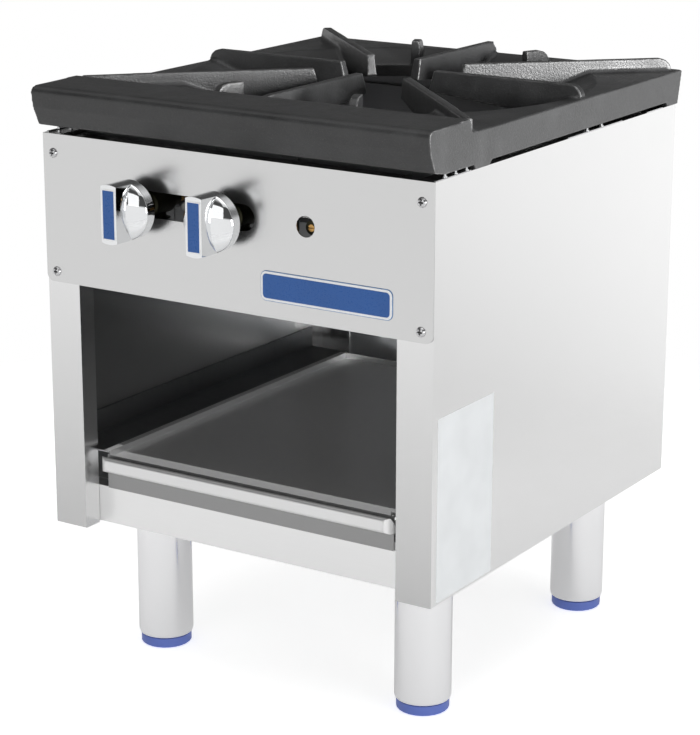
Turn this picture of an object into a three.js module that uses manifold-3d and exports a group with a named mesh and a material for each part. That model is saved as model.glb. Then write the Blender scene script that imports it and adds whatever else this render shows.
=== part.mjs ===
// Single-burner stock pot range: open stainless cabinet on four levelling legs, ribbed cast iron
// top grate, three-ring cast burner fed by two valves, and a slide-out drip tray.
// Millimetres. +X right, +Y to the back, +Z up. While it is built, X = 0 is the middle of the
// cabinet, Y = 0 its front face and Z = 0 the floor; the last lines move the origin to the bottom
// centre of the whole range.

import * as THREE from "three";
import { mergeVertices } from "three/addons/utils/BufferGeometryUtils.js";
import Module from "manifold-3d";

// ---------------------------------------------------------------------------
// Driving dimensions
// ---------------------------------------------------------------------------

const gap = 0.3; // between pieces that seat on one another
const sheet = 1.5; // stainless steel sheet

// Cabinet
const bodyWidth = 457.2;
const bodyDepth = 506.5;
const bodyHeight = 413.6;
const underside = 152.4; // floor to the underside of the cabinet
const frontPost = 39.7; // width of the flange beside the front opening
const frontPostReturn = 22;
const rearPost = 40;
const sideTopFlange = 20;
const sideBottomFlange = 20;
const topRailHeight = 30;
const topRailFlange = 12;
const bottomRailHeight = 40;
const bottomRailFlange = 20;
const backPanelInset = 6;

// Control panel
const panelHeight = 152.4;
const panelCorner = 8;
const panelReturn = 15;
const controlDrop = 61.2; // top of the panel down to the valve centres
const slotLift = 3.2; // middle of the slot above the valve centres
const slotHeight = 26.5;
const slotOverrun = 22; // straight part of the slot beyond each valve centre
const knobSpacing = 101.6;
const knobMiddle = -56.4; // X of the point midway between the valves
const pilotX = 88.1;
const pilotHoleRadius = 10.5;
const screwInset = 12.7;
const screwTopDrop = 19.6;
const screwBottomRise = 10.8;
const screwShank = 2.4;
const screwHead = 5;
const screwHeadHeight = 2.8;
const screwLength = 12;

// Knobs
const knobRadius = 29.5;
const knobStandoff = 17.5; // panel-side face of the rim to the cabinet's front
const knobRim = 10.5;
const knobDome = 14;
const knobBar = 20;
const knobBarDraft = 1;
const knobBarStand = 24; // grip face above the rim
const knobHub = 12;
const knobHubLength = 6;
const stemRadius = 4;

// Gas train
const pipeRadius = 13.35;
const manifoldY = 27;
const manifoldPostGap = 1.75; // supply pipe to the rear post
const inletStub = 38; // how far the supply pipe stands out of the back
const inletBore = 30;
const pipeWall = 3;
const valveFront = 4;
const valveBonnet = 16;
const valveBonnetLength = 10;
const valveBody = 13;
const valveBodyLength = 26;
const valveNeck = 9;
const valveNeckLength = 14;
const valveInlet = 8;
const socketWall = 4;
const socketRise = 7;
const nippleRadius = 4;
const nippleLength = 8;
const hoodRadius = 6.5;
const hoodLength = 22;
const hoodWall = 2.2;
const strapWidth = 20;
const strapThickness = 2;
const pilotBody = 7;
const pilotBodyFront = 9;
const pilotBodyLength = 24;
const pilotScrew = 3.6;
const pilotTubeRadius = 3;
const pilotHeadX = 44;
const pilotHeadRadius = 8;
const pilotHeadHeight = 20;
const pilotHeadClearance = 16; // outer ring to the middle of the pilot burner
const pilotHeadDrop = 4; // flame slot's top below the burner's flame face
const pilotShelfHalf = 10;
const pilotShelfEnd = 12; // shelf beyond the middle of the pilot burner
const tapX = -68.6; // pressure tap between the valves
const tapRadius = 6;
const tapPlug = 4.6;

// Burner, measured from the middle of the grate
const burnerDrop = 29.6; // flame face below the lower edge of the grate's throat
const ringDepth = 21;
const outerRingRadius = 126;
const middleRingRadius = 73;
const centreRingRadius = 24;
const ringWidth = 32;
const centreRingWidth = 20;
const ringShoulder = 5;
const armWidth = 16;
const mixerRadius = 14;
const mixerBell = 27;
const mixerFace = 90; // Y of the mixer's mouth
const bellLength = 22;
const mixerCollar = 11;
const collarLength = 5;
const shutterThickness = 1.6;
const burnerFoot = 7;
const burnerBarOffset = 66; // bars in front of and behind the middle of the grate
const burnerBarLeg = 18;
const burnerBarDrop = 49.8; // bars below the valve centres
const barThickness = 2.5;
const shieldSideGap = 14.6;
const shieldTopGap = 6;
const shieldBackGap = 34; // rear shield to the back of the cabinet
const shieldFrontY = 62;

// Drip tray and runners
const traySideGap = 50; // tray's hem to the cabinet's outer face
const trayFrontY = 20;
const trayRearGap = 36.5;
const trayRise = 41.6; // lower edge of the front apron above the underside
const trayApron = 40.5; // lower edge of the front apron up to the side hems
const trayApronInset = 4;
const trayDish = 6.5; // floor of the tray below its side hems
const trayHem = 6;
const trayLipDepth = 12;
const trayLipHeight = 16;
const trayLipDrop = 4.5; // top of the side hems down to the top of the lip
const runnerWall = 24; // ledge up to the top edge of a runner
const runnerClearance = 2;
const runnerEndGap = 26;

// Legs and feet
const legRadius = 29.2;
const legInset = 66.1;
const legFrontY = 97.6;
const legRearGap = 73.5;
const legTubeWall = 2;
const legPlate = 88.9;
const legPlateThickness = 4;
const legChannelWidth = 130;
const legChannelLip = 20;
const legBottom = 11;
const legInsert = 14;
const footRadius = 27.2;
const footStem = 8;
const footStemLength = 60;

// Top grate
const grateHeight = 49.2; // feet to the tops of the ribs and the nose
const grateRibRise = 13; // tops of the ribs above the flat rim
const grateOverhang = 2.6;
const grateRearOverhang = 5.5;
const grateWall = 8;
const grateNoseFront = -15;
const grateNoseDepth = 72;
const grateNoseToe = 28; // underside of the nose, from its front
const grateNoseRoll = 22; // tops down to the fullest part of the nose
const grateFoot = gap; // underside of the feet above the cabinet top
const grateNotch = 5;
const grateFootFront = 94; // back of the front feet
const grateFootLength = 24;
const grateFootBack = 22;
const bowlSideRim = 11.6; // bowl's edge in from the cabinet's side
const bowlFrontRim = 13;
const bowlBackRim = 8;
const bowlSlope = 36; // bowl's edge in to the throat, in plan
const bowlDrop = 13.3;
const throatDepth = 13.6;
const ribTopWidth = 8.5;
const ribDraft = 0.05; // each side, per millimetre down
const ribInnerHalf = 57; // half side of the square that the rib ends stand on
const ribInnerDepth = 22;
const ribInnerSlant = 6;
const ribOuterRound = 13;
const ribUndersideDrop = 12;
const ribFilletHeight = 4;
const ribFilletWidth = 3.6;
const stubAngle = 22.5;
const stubLength = 32;
const cornerRibSideInset = 7;
const cornerRibBackInset = 7;

// ---------------------------------------------------------------------------
// Values worked out from the driving dimensions
// ---------------------------------------------------------------------------

const halfWidth = bodyWidth / 2;
const top = underside + bodyHeight;
const innerHalf = halfWidth - sheet - gap; // reach of pieces fitted between the sides
const sideBack = bodyDepth - sheet - gap; // outer face of the rear posts
const panelBack = -gap;
const panelFace = panelBack - sheet;
const panelBottom = top - panelHeight;
const controlZ = top - controlDrop;
const slotZ = controlZ + slotLift;
const valveX = [knobMiddle - knobSpacing / 2, knobMiddle + knobSpacing / 2];
const legRearY = bodyDepth - legRearGap;
const manifoldEnd = halfWidth - Math.max(frontPost, rearPost) - pipeRadius - manifoldPostGap;
const burnerBarTop = controlZ - burnerBarDrop;
const manifoldZ = burnerBarTop + gap + pipeRadius;
const supplyZ = burnerBarTop - burnerBarLeg - gap - pipeRadius; // run to the back, under the bars
const strapY = manifoldY + pipeRadius + gap;
const topRailFrontY = strapY + strapThickness + gap;
const trayHalfWidth = halfWidth - traySideGap;
const trayDepth = bodyDepth - trayRearGap - trayFrontY;
const trayBottom = underside + trayRise;
const trayTop = trayBottom + trayApron;
const trayInner = trayHalfWidth - trayHem; // outer face of the tray's side walls
const footZ = top + grateFoot;
const grateTop = footZ + grateHeight;
const grateRim = grateTop - grateRibRise;
const grateNoseBack = grateNoseFront + grateNoseDepth;
const grateBackY = bodyDepth + grateRearOverhang;
const bowlFront = grateNoseBack + bowlFrontRim;
const bowlBack = grateBackY - bowlBackRim;
const bowlRadius = Math.min(halfWidth - bowlSideRim, (bowlBack - bowlFront) / 2);
const grateCentreY = (bowlFront + bowlBack) / 2;
const throatRadius = bowlRadius - bowlSlope;
const throatTop = grateRim - bowlDrop;
const throatFoot = throatTop - throatDepth;
const burnerTop = throatFoot - burnerDrop;
const ringFloor = burnerTop - ringDepth;
const shieldHalfWidth = halfWidth - shieldSideGap;
const shieldTop = top - shieldTopGap;
const mixerZ = controlZ;
const valveBack = valveFront + valveBonnetLength + valveBodyLength + valveNeckLength;
const collarFace = mixerFace - collarLength;

// ---------------------------------------------------------------------------
// Solids
// ---------------------------------------------------------------------------

const wasm = await Module();
wasm.setup();

/** Closed solid from a closed three.js geometry. */
function solid(geometry) {
  const bare = geometry.index ? geometry.toNonIndexed() : geometry.clone();
  bare.deleteAttribute("normal");
  bare.deleteAttribute("uv");
  const merged = mergeVertices(bare, 1e-4);
  return new wasm.Manifold(new wasm.Mesh({
    numProp: 3,
    vertProperties: new Float32Array(merged.attributes.position.array),
    triVerts: new Uint32Array(merged.index.array),
  }));
}

/** three.js geometry of a solid. */
function geometryOf(manifold) {
  const mesh = manifold.getMesh();
  const geometry = new THREE.BufferGeometry();
  geometry.setAttribute("position", new THREE.BufferAttribute(new Float32Array(mesh.vertProperties), 3));
  geometry.setIndex(new THREE.BufferAttribute(new Uint32Array(mesh.triVerts), 1));
  geometry.computeVertexNormals();
  return geometry;
}

/** All of a list of solids joined. */
function join(parts) {
  return parts.reduce((whole, part) => whole.add(part));
}

/** Box between two corners. */
function block(x0, x1, y0, y1, z0, z1) {
  const geometry = new THREE.BoxGeometry(x1 - x0, y1 - y0, z1 - z0);
  geometry.translate((x0 + x1) / 2, (y0 + y1) / 2, (z0 + z1) / 2);
  return solid(geometry);
}

/** Round bar along an axis ("x", "y" or "z"), centred on the two other coordinates. */
function rod(axis, from, to, radius, centre, segments = 16) {
  const geometry = new THREE.CylinderGeometry(radius, radius, to - from, segments);
  const middle = (from + to) / 2;
  if (axis === "x") {
    geometry.rotateZ(-Math.PI / 2);
    geometry.translate(middle, centre[0], centre[1]);
  } else if (axis === "y") {
    geometry.translate(centre[0], middle, centre[1]);
  } else {
    geometry.rotateX(Math.PI / 2);
    geometry.translate(centre[0], centre[1], middle);
  }
  return solid(geometry);
}

/** Prism of an outline: [[a, b], ...] in the plane across the axis, from one end to the other.
 *  Across "x" the outline is (Y, Z), across "y" it is (X, Z) and across "z" it is (X, Y). */
function prism(axis, outline, from, to) {
  const shape = outline instanceof THREE.Shape ? outline : polygon(outline);
  const geometry = new THREE.ExtrudeGeometry(shape, {
    depth: to - from, bevelEnabled: false, curveSegments: 8,
  });
  const basis = {
    x: [new THREE.Vector3(0, 1, 0), new THREE.Vector3(0, 0, 1), new THREE.Vector3(1, 0, 0)],
    y: [new THREE.Vector3(1, 0, 0), new THREE.Vector3(0, 0, 1), new THREE.Vector3(0, -1, 0)],
    z: [new THREE.Vector3(1, 0, 0), new THREE.Vector3(0, 1, 0), new THREE.Vector3(0, 0, 1)],
  }[axis];
  geometry.applyMatrix4(new THREE.Matrix4().makeBasis(...basis));
  const start = { x: [from, 0, 0], y: [0, to, 0], z: [0, 0, from] }[axis];
  geometry.translate(...start);
  return solid(geometry);
}

/** Shape through a list of points. */
function polygon(points) {
  return new THREE.Shape(points.map(([a, b]) => new THREE.Vector2(a, b)));
}

/** Solid of revolution about a vertical axis: profile is [[radius, z], ...] and closes on itself
 *  or on the axis. */
function turned(profile, x, y, segments = 48) {
  const points = profile.map(([r, z]) => new THREE.Vector2(r, z));
  if (profile[0][0] > 0 || profile[profile.length - 1][0] > 0) points.push(points[0].clone());
  const geometry = new THREE.LatheGeometry(points, segments);
  geometry.rotateX(Math.PI / 2);
  geometry.translate(x, y, 0);
  const part = solid(geometry);
  return part.volume() < 0 ? solid(flipped(geometry)) : part;
}

/** The same revolved about an axis along Y through (x, z): profile is [[radius, y], ...]. */
function turnedAlongY(profile, x, z, segments = 24) {
  const points = profile.map(([r, y]) => new THREE.Vector2(r, y));
  if (profile[0][0] > 0 || profile[profile.length - 1][0] > 0) points.push(points[0].clone());
  const geometry = new THREE.LatheGeometry(points, segments);
  geometry.translate(x, 0, z);
  const part = solid(geometry);
  return part.volume() < 0 ? solid(flipped(geometry)) : part;
}

/** The geometry with its faces turned round. */
function flipped(geometry) {
  const copy = geometry.toNonIndexed();
  const positions = copy.attributes.position.array;
  for (let i = 0; i < positions.length; i += 9) {
    for (let k = 0; k < 3; k += 1) {
      [positions[i + 3 + k], positions[i + 6 + k]] = [positions[i + 6 + k], positions[i + 3 + k]];
    }
  }
  return copy;
}

/** Folded sheet section: an open line of points given a thickness on its left-hand side. */
function foldedSection(line, thickness) {
  const offset = line.map((point, i) => {
    const before = i > 0 ? direction(line[i - 1], point) : direction(point, line[i + 1]);
    const after = i < line.length - 1 ? direction(point, line[i + 1]) : before;
    const nx = -(before[1] + after[1]);
    const ny = before[0] + after[0];
    const scale = thickness / ((nx * -before[1] + ny * before[0]) || 1);
    return [point[0] + nx * scale, point[1] + ny * scale];
  });
  return [...line, ...offset.reverse()];
}

/** Unit vector from one point to another. */
function direction(a, b) {
  const length = Math.hypot(b[0] - a[0], b[1] - a[1]);
  return [(b[0] - a[0]) / length, (b[1] - a[1]) / length];
}

/** Tube along straight runs joined by round bends, with rings only where it bends. */
function bentTube(points, radius, bend, segments = 12) {
  const corners = points.map((p) => new THREE.Vector3(...p));
  const last = corners.length - 1;
  const stations = [{ at: corners[0], along: corners[1].clone().sub(corners[0]).normalize() }];
  for (let i = 1; i < last; i += 1) {
    const into = corners[i].clone().sub(corners[i - 1]).normalize();
    const out = corners[i + 1].clone().sub(corners[i]).normalize();
    const curve = new THREE.QuadraticBezierCurve3(
      corners[i].clone().addScaledVector(into, -bend), corners[i],
      corners[i].clone().addScaledVector(out, bend));
    for (let k = 0; k <= 5; k += 1) {
      stations.push({ at: curve.getPoint(k / 5), along: curve.getTangent(k / 5) });
    }
  }
  stations.push({
    at: corners[last], along: corners[last].clone().sub(corners[last - 1]).normalize(),
  });

  const seed = Math.abs(stations[0].along.z) < 0.9 ? [0, 0, 1] : [1, 0, 0];
  const side = new THREE.Vector3(...seed);
  const vertices = [];
  for (const { at, along } of stations) {
    side.addScaledVector(along, -side.dot(along)).normalize();
    const up = along.clone().cross(side);
    for (let k = 0; k < segments; k += 1) {
      const angle = (2 * Math.PI * k) / segments;
      const point = at.clone().addScaledVector(side, radius * Math.cos(angle))
        .addScaledVector(up, radius * Math.sin(angle));
      vertices.push(point.x, point.y, point.z);
    }
  }
  return ringSolid(vertices, stations.length, segments);
}

/** Closed solid through equal rings of vertices, each ring running round the same way. */
function ringSolid(vertices, rings, segments) {
  const faces = [];
  for (let r = 0; r < rings - 1; r += 1) {
    for (let k = 0; k < segments; k += 1) {
      const a = r * segments + k;
      const b = r * segments + ((k + 1) % segments);
      faces.push(a, b, b + segments, a, b + segments, a + segments);
    }
  }
  const end = (rings - 1) * segments;
  for (let k = 1; k < segments - 1; k += 1) {
    faces.push(0, k + 1, k, end, end + k, end + k + 1);
  }
  const geometry = new THREE.BufferGeometry();
  geometry.setAttribute("position", new THREE.Float32BufferAttribute(vertices, 3));
  geometry.setIndex(faces);
  const part = solid(geometry);
  return part.volume() < 0 ? solid(flipped(geometry)) : part;
}

/** The same solid on the other side of the middle plane. */
function mirrored(part) {
  return solid(flipped(geometryOf(part).scale(-1, 1, 1)));
}

/** The same solid turned about the vertical axis by an angle in degrees, then moved. */
function turnedPlan(part, angle, x, y) {
  const geometry = geometryOf(part);
  geometry.rotateZ(THREE.MathUtils.degToRad(angle));
  geometry.translate(x, y, 0);
  return solid(geometry);
}

// ---------------------------------------------------------------------------
// Materials and the assembly
// ---------------------------------------------------------------------------

const finishes = {
  stainless: new THREE.MeshStandardMaterial({ color: 0xc9cbcc, metalness: 0.9, roughness: 0.35 }),
  galvanised: new THREE.MeshStandardMaterial({ color: 0x9da1a3, metalness: 0.8, roughness: 0.5 }),
  castIron: new THREE.MeshStandardMaterial({ color: 0x2e3032, metalness: 0.4, roughness: 0.6 }),
  chrome: new THREE.MeshStandardMaterial({ color: 0xe6e8ea, metalness: 1, roughness: 0.06 }),
  brass: new THREE.MeshStandardMaterial({ color: 0xb08a4a, metalness: 1, roughness: 0.3 }),
  blackSteel: new THREE.MeshStandardMaterial({ color: 0x3a3b3c, metalness: 0.6, roughness: 0.5 }),
  paintedLeg: new THREE.MeshStandardMaterial({ color: 0xe4e6e7, metalness: 0.3, roughness: 0.3 }),
  blueCap: new THREE.MeshStandardMaterial({ color: 0x5b7fe0, metalness: 0, roughness: 0.5 }),
};

const range = new THREE.Group();

/** Adds one named piece, with a material of its own. */
function piece(name, manifold, finish) {
  const mesh = new THREE.Mesh(geometryOf(manifold), finishes[finish].clone());
  mesh.name = name;
  range.add(mesh);
}

// ---------------------------------------------------------------------------
// Cabinet
// ---------------------------------------------------------------------------

/** Right-hand side: outer wall with front post, rear post and top and bottom flanges. */
function cabinetSide() {
  const inner = halfWidth - frontPost;
  const section = foldedSection([
    [inner, frontPostReturn], [inner, 0], [halfWidth, 0],
    [halfWidth, sideBack], [halfWidth - rearPost, sideBack],
  ], sheet);
  const topFlange = block(halfWidth - sideTopFlange, halfWidth, 0, sideBack, top - sheet, top);
  const bottomFlange = block(
    halfWidth - sideBottomFlange, halfWidth, 0, sideBack, underside, underside + sheet);
  let side = join([prism("z", section, underside, top), topFlange, bottomFlange]);
  for (const z of [top - screwTopDrop, panelBottom + screwBottomRise]) {
    side = side.subtract(rod("y", -1, sheet + 1, screwShank + gap, [halfWidth - screwInset, z], 12));
  }
  return side;
}

/** Channel between the two sides, open to the back (reach > 0) or to the front (reach < 0). */
function crossChannel(webY, reach, z0, z1) {
  const t = Math.sign(reach) * sheet;
  const section = [
    [webY, z0], [webY + reach, z0], [webY + reach, z0 + sheet], [webY + t, z0 + sheet],
    [webY + t, z1 - sheet], [webY + reach, z1 - sheet], [webY + reach, z1], [webY, z1],
  ];
  return prism("x", reach > 0 ? section : section.reverse(), -innerHalf, innerHalf);
}

/** Rear panel over the rear posts, with the hole that the supply pipe leaves by. */
function backPanel() {
  const reach = halfWidth - backPanelInset;
  const panel = block(-reach, reach, bodyDepth - sheet, bodyDepth,
    underside + backPanelInset, top - backPanelInset);
  const hole = rod("y", bodyDepth - 10, bodyDepth + 10, pipeRadius + gap, [manifoldEnd, supplyZ]);
  return panel.subtract(hole);
}

/** Joggled channel that the legs on one side bolt to: it lies on the side's bottom flange. */
function legChannel() {
  const flangeEdge = halfWidth - sideBottomFlange - gap;
  const seat = underside + sheet + gap;
  const section = foldedSection([
    [innerHalf - legChannelWidth, underside + legChannelLip], [innerHalf - legChannelWidth, underside],
    [flangeEdge, underside], [flangeEdge, seat], [innerHalf, seat],
  ], barThickness);
  const front = frontPostReturn + sheet + 4 * gap + bottomRailFlange;
  return prism("y", section, front, sideBack - sheet - gap);
}

function buildCabinet() {
  const right = cabinetSide();
  piece("cabinet_side_right", right, "stainless");
  piece("cabinet_side_left", mirrored(right), "stainless");
  piece("cabinet_back", backPanel(), "galvanised");

  const railTop = top - sheet - gap;
  piece("top_rail_front", crossChannel(topRailFrontY, topRailFlange, railTop - topRailHeight, railTop),
    "galvanised");
  piece("top_rail_rear",
    crossChannel(sideBack - sheet - gap, -topRailFlange, railTop - topRailHeight, railTop), "galvanised");

  const railBottom = underside + sheet + gap;
  piece("bottom_rail_front",
    crossChannel(frontPostReturn + gap, bottomRailFlange, railBottom, railBottom + bottomRailHeight),
    "stainless");

  const channel = legChannel();
  piece("leg_channel_right", channel, "galvanised");
  piece("leg_channel_left", mirrored(channel), "galvanised");
}

// ---------------------------------------------------------------------------
// Control panel and knobs
// ---------------------------------------------------------------------------

/** Front panel: flat plate with rounded lower corners, valve slot, pilot hole and folded returns. */
function controlPanel() {
  const outline = new THREE.Shape();
  outline.moveTo(-halfWidth, top);
  outline.lineTo(-halfWidth, panelBottom + panelCorner);
  outline.absarc(-halfWidth + panelCorner, panelBottom + panelCorner, panelCorner, Math.PI, 1.5 * Math.PI);
  outline.absarc(halfWidth - panelCorner, panelBottom + panelCorner, panelCorner, 1.5 * Math.PI, 2 * Math.PI);
  outline.lineTo(halfWidth, top);

  const slot = new THREE.Shape();
  const slotEnd = knobSpacing / 2 + slotOverrun;
  slot.absarc(knobMiddle - slotEnd, slotZ, slotHeight / 2, 0.5 * Math.PI, 1.5 * Math.PI);
  slot.absarc(knobMiddle + slotEnd, slotZ, slotHeight / 2, 1.5 * Math.PI, 2.5 * Math.PI);

  const returnReach = halfWidth - frontPost - sheet - gap;
  let panel = join([
    prism("y", outline, panelFace, panelBack),
    block(-returnReach, returnReach, panelFace, panelReturn, top - sheet, top),
    block(-returnReach, returnReach, panelFace, panelReturn, panelBottom, panelBottom + sheet),
  ]);
  panel = panel.subtract(prism("y", slot, panelFace - 1, panelBack + 1));
  panel = panel.subtract(rod("y", panelFace - 1, panelBack + 1, pilotHoleRadius, [pilotX, slotZ]));
  for (const [, x, z] of screwPlaces()) {
    panel = panel.subtract(rod("y", panelFace - 1, panelBack + 1, screwShank + gap, [x, z], 12));
  }
  return panel;
}

/** The four corners where the panel is screwed to the posts: [name, x, z]. */
function screwPlaces() {
  const x = halfWidth - screwInset;
  return [
    ["top_left", -x, top - screwTopDrop], ["top_right", x, top - screwTopDrop],
    ["bottom_left", -x, panelBottom + screwBottomRise], ["bottom_right", x, panelBottom + screwBottomRise],
  ];
}

/** Pan-head screw that holds the panel. */
function panelScrew(x, z) {
  const seat = panelFace - gap;
  const profile = [
    [0, seat - screwHeadHeight], [screwHead * 0.55, seat - screwHeadHeight * 0.86],
    [screwHead * 0.9, seat - screwHeadHeight * 0.45], [screwHead, seat],
    [screwShank, seat], [screwShank, seat + screwLength], [0, seat + screwLength],
  ];
  return turnedAlongY(profile, x, z, 16);
}

/** Chromed bar-grip knob: round rim, low dome and a bar as long as the rim is wide. */
function knob(x) {
  const rimBack = -knobStandoff;
  const rimFront = rimBack - knobRim;
  const face = rimFront - knobBarStand;
  const domeSteps = 6;
  const dome = [];
  for (let i = 1; i <= domeSteps; i += 1) {
    const t = i / domeSteps;
    dome.push([knobRadius * (1 - t), rimFront - knobDome * Math.sin((t * Math.PI) / 2) ** 0.9]);
  }
  const base = turnedAlongY([
    [0, rimBack + knobHubLength], [knobHub, rimBack + knobHubLength], [knobHub, rimBack],
    [knobRadius - 1, rimBack], [knobRadius, rimBack - 1], [knobRadius, rimFront], ...dome,
  ], x, controlZ, 32);
  const half = knobBar / 2;
  const grip = prism("z", [
    [x - half, face], [x + half, face],
    [x + half + knobBarDraft, rimFront + 1], [x - half - knobBarDraft, rimFront + 1],
  ], controlZ - knobRadius * 1.1, controlZ + knobRadius * 1.1);
  const round = rod("y", face - 1, rimFront + 2, knobRadius, [x, controlZ], 32);
  const bore = rod("y", rimFront + 1, rimBack + knobHubLength + 1, stemRadius + gap, [x, controlZ], 16);
  return base.add(grip.intersect(round)).subtract(bore);
}

/** Valve stem that a knob pushes onto and turns. */
function valveStem(x) {
  const front = -knobStandoff - knobRim + 1 + gap;
  return rod("y", front, valveFront + valveBonnetLength, stemRadius, [x, controlZ], 16);
}

function buildControls() {
  piece("front_control_panel", controlPanel(), "stainless");
  for (const [name, x, z] of screwPlaces()) piece(`panel_screw_${name}`, panelScrew(x, z), "stainless");
  for (const [name, x] of [["left", valveX[0]], ["right", valveX[1]]]) {
    piece(`knob_${name}`, knob(x), "chrome");
    piece(`valve_stem_${name}`, valveStem(x), "brass");
  }
}

// ---------------------------------------------------------------------------
// Gas train
// ---------------------------------------------------------------------------

/** Manifold: capped pipe behind the panel with a socket per valve, bent back to the rear inlet. */
function manifoldPipe() {
  const sockets = [...valveX.map((x) => [x, valveInlet]), [pilotX, pilotBody - 2]];
  const bend = (manifoldZ - supplyZ) / 2 - 0.5;
  let pipe = bentTube([
    [-manifoldEnd, manifoldY, manifoldZ], [manifoldEnd, manifoldY, manifoldZ],
    [manifoldEnd, manifoldY, supplyZ], [manifoldEnd, bodyDepth + inletStub, supplyZ],
  ], pipeRadius, bend, 16);
  pipe = pipe.add(rod("x", -manifoldEnd - 6, -manifoldEnd + 12, pipeRadius + 3, [manifoldY, manifoldZ]));
  for (const [x, radius] of sockets) {
    pipe = pipe.add(rod("z", manifoldZ, manifoldZ + pipeRadius + socketRise, radius + socketWall,
      [x, manifoldY]));
  }
  for (const [x, radius] of sockets) {
    pipe = pipe.subtract(rod("z", manifoldZ + pipeRadius - 2, manifoldZ + pipeRadius + socketRise + 1,
      radius + gap, [x, manifoldY]));
  }
  pipe = pipe.add(rod("z", manifoldZ, controlZ + tapRadius, tapRadius, [tapX, manifoldY], 16));
  pipe = pipe.subtract(rod("y", manifoldY - tapRadius - 1, manifoldY, tapPlug * 0.55 + gap,
    [tapX, controlZ], 12));
  const bore = rod("y", bodyDepth + inletStub - inletBore, bodyDepth + inletStub + 1, pipeRadius - pipeWall,
    [manifoldEnd, supplyZ]);
  return pipe.subtract(bore);
}

/** Round-headed plug in the manifold's pressure tap. */
function tapPlugScrew() {
  const seat = manifoldY - tapRadius - gap;
  return turnedAlongY([
    [0, seat - 3], [tapPlug * 0.7, seat - 2.6], [tapPlug, seat - 1], [tapPlug, seat],
    [tapPlug * 0.55, seat], [tapPlug * 0.55, seat + tapRadius - 1], [0, seat + tapRadius - 1],
  ], tapX, controlZ, 20);
}

/** Brass valve: bonnet, plug body, outlet neck and nipple in line, with the inlet below. */
function gasValve(x) {
  const bonnetBack = valveFront + valveBonnetLength;
  const bodyBack = bonnetBack + valveBodyLength;
  const profile = [
    [0, valveFront + valveBonnetLength + gap], [stemRadius + gap, bonnetBack + gap],
    [stemRadius + gap, valveFront], [valveBonnet - 2, valveFront], [valveBonnet, valveFront + 2],
    [valveBonnet, bonnetBack], [valveBody, bonnetBack], [valveBody, bodyBack],
    [valveNeck, bodyBack], [valveNeck, valveBack], [nippleRadius, valveBack],
    [nippleRadius, valveBack + nippleLength], [0, valveBack + nippleLength],
  ];
  const inlet = rod("z", manifoldZ + pipeRadius - 2 + gap, controlZ - stemRadius - 4, valveInlet,
    [x, manifoldY]);
  return turnedAlongY(profile, x, controlZ, 20).add(inlet);
}

/** Orifice hood on a valve's nipple, reaching into the mixer's collar. */
function orificeHood(x) {
  const front = valveBack + gap;
  const profile = [
    [nippleRadius + gap, front], [hoodRadius, front], [hoodRadius, front + hoodLength],
    [hoodRadius - hoodWall, front + hoodLength + 3], [0, front + hoodLength + 3],
    [0, front + nippleLength], [nippleRadius + gap, front + nippleLength],
  ];
  return turnedAlongY(profile, x, controlZ, 16);
}

/** Strap that hangs the manifold from the front top rail. */
function manifoldStrap(x) {
  const railTop = top - sheet - gap;
  const low = manifoldZ - pipeRadius - gap - strapThickness;
  const section = foldedSection([
    [strapY - 2 * pipeRadius - gap, low], [strapY + strapThickness, low],
    [strapY + strapThickness, railTop - sheet],
  ], strapThickness);
  return prism("x", section, x - strapWidth / 2, x + strapWidth / 2);
}

/** Small pilot valve behind the panel's round hole, with its outlet to the pilot tube. */
function pilotValve() {
  const back = pilotBodyFront + pilotBodyLength;
  const profile = [
    [0, pilotBodyFront + 8], [pilotScrew + gap, pilotBodyFront + 8], [pilotScrew + gap, pilotBodyFront],
    [pilotBody, pilotBodyFront], [pilotBody, back], [pilotTubeRadius + 2, back],
    [pilotTubeRadius + 2, back + 8], [0, back + 8],
  ];
  const inlet = rod("z", manifoldZ + pipeRadius - 2 + gap, controlZ - 3, pilotBody - 2, [pilotX, manifoldY]);
  return turnedAlongY(profile, pilotX, controlZ, 20).add(inlet);
}

/** Slotted screw that adjusts the pilot flame. */
function pilotAdjuster() {
  const screw = rod("y", pilotBodyFront - 1, pilotBodyFront + 7, pilotScrew, [pilotX, controlZ], 20);
  const slot = block(pilotX - pilotScrew, pilotX + pilotScrew, pilotBodyFront - 2, pilotBodyFront + 0.4,
    controlZ - 0.6, controlZ + 0.6);
  return screw.subtract(slot);
}

const pilotReach = outerRingRadius + ringWidth / 2 + pilotHeadClearance;
const pilotHeadY = grateCentreY - Math.sqrt(pilotReach ** 2 - pilotHeadX ** 2);
const pilotShelfZ = burnerTop - pilotHeadHeight - pilotHeadDrop;

/** Bracket from the front top rail that carries the pilot burner. */
function pilotBracket() {
  const webY = topRailFrontY + topRailFlange + gap;
  const shelf = block(pilotHeadX - pilotShelfHalf, pilotHeadX + pilotShelfHalf,
    webY, pilotHeadY + pilotShelfEnd, pilotShelfZ - strapThickness, pilotShelfZ);
  const tab = block(pilotHeadX - pilotShelfHalf, pilotHeadX + pilotShelfHalf, webY, webY + strapThickness,
    pilotShelfZ - strapThickness, top - sheet - gap);
  const hole = rod("z", pilotShelfZ - 6, pilotShelfZ + 2, pilotTubeRadius + 2 * gap,
    [pilotHeadX, pilotHeadY], 16);
  return shelf.add(tab).subtract(hole);
}

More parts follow.
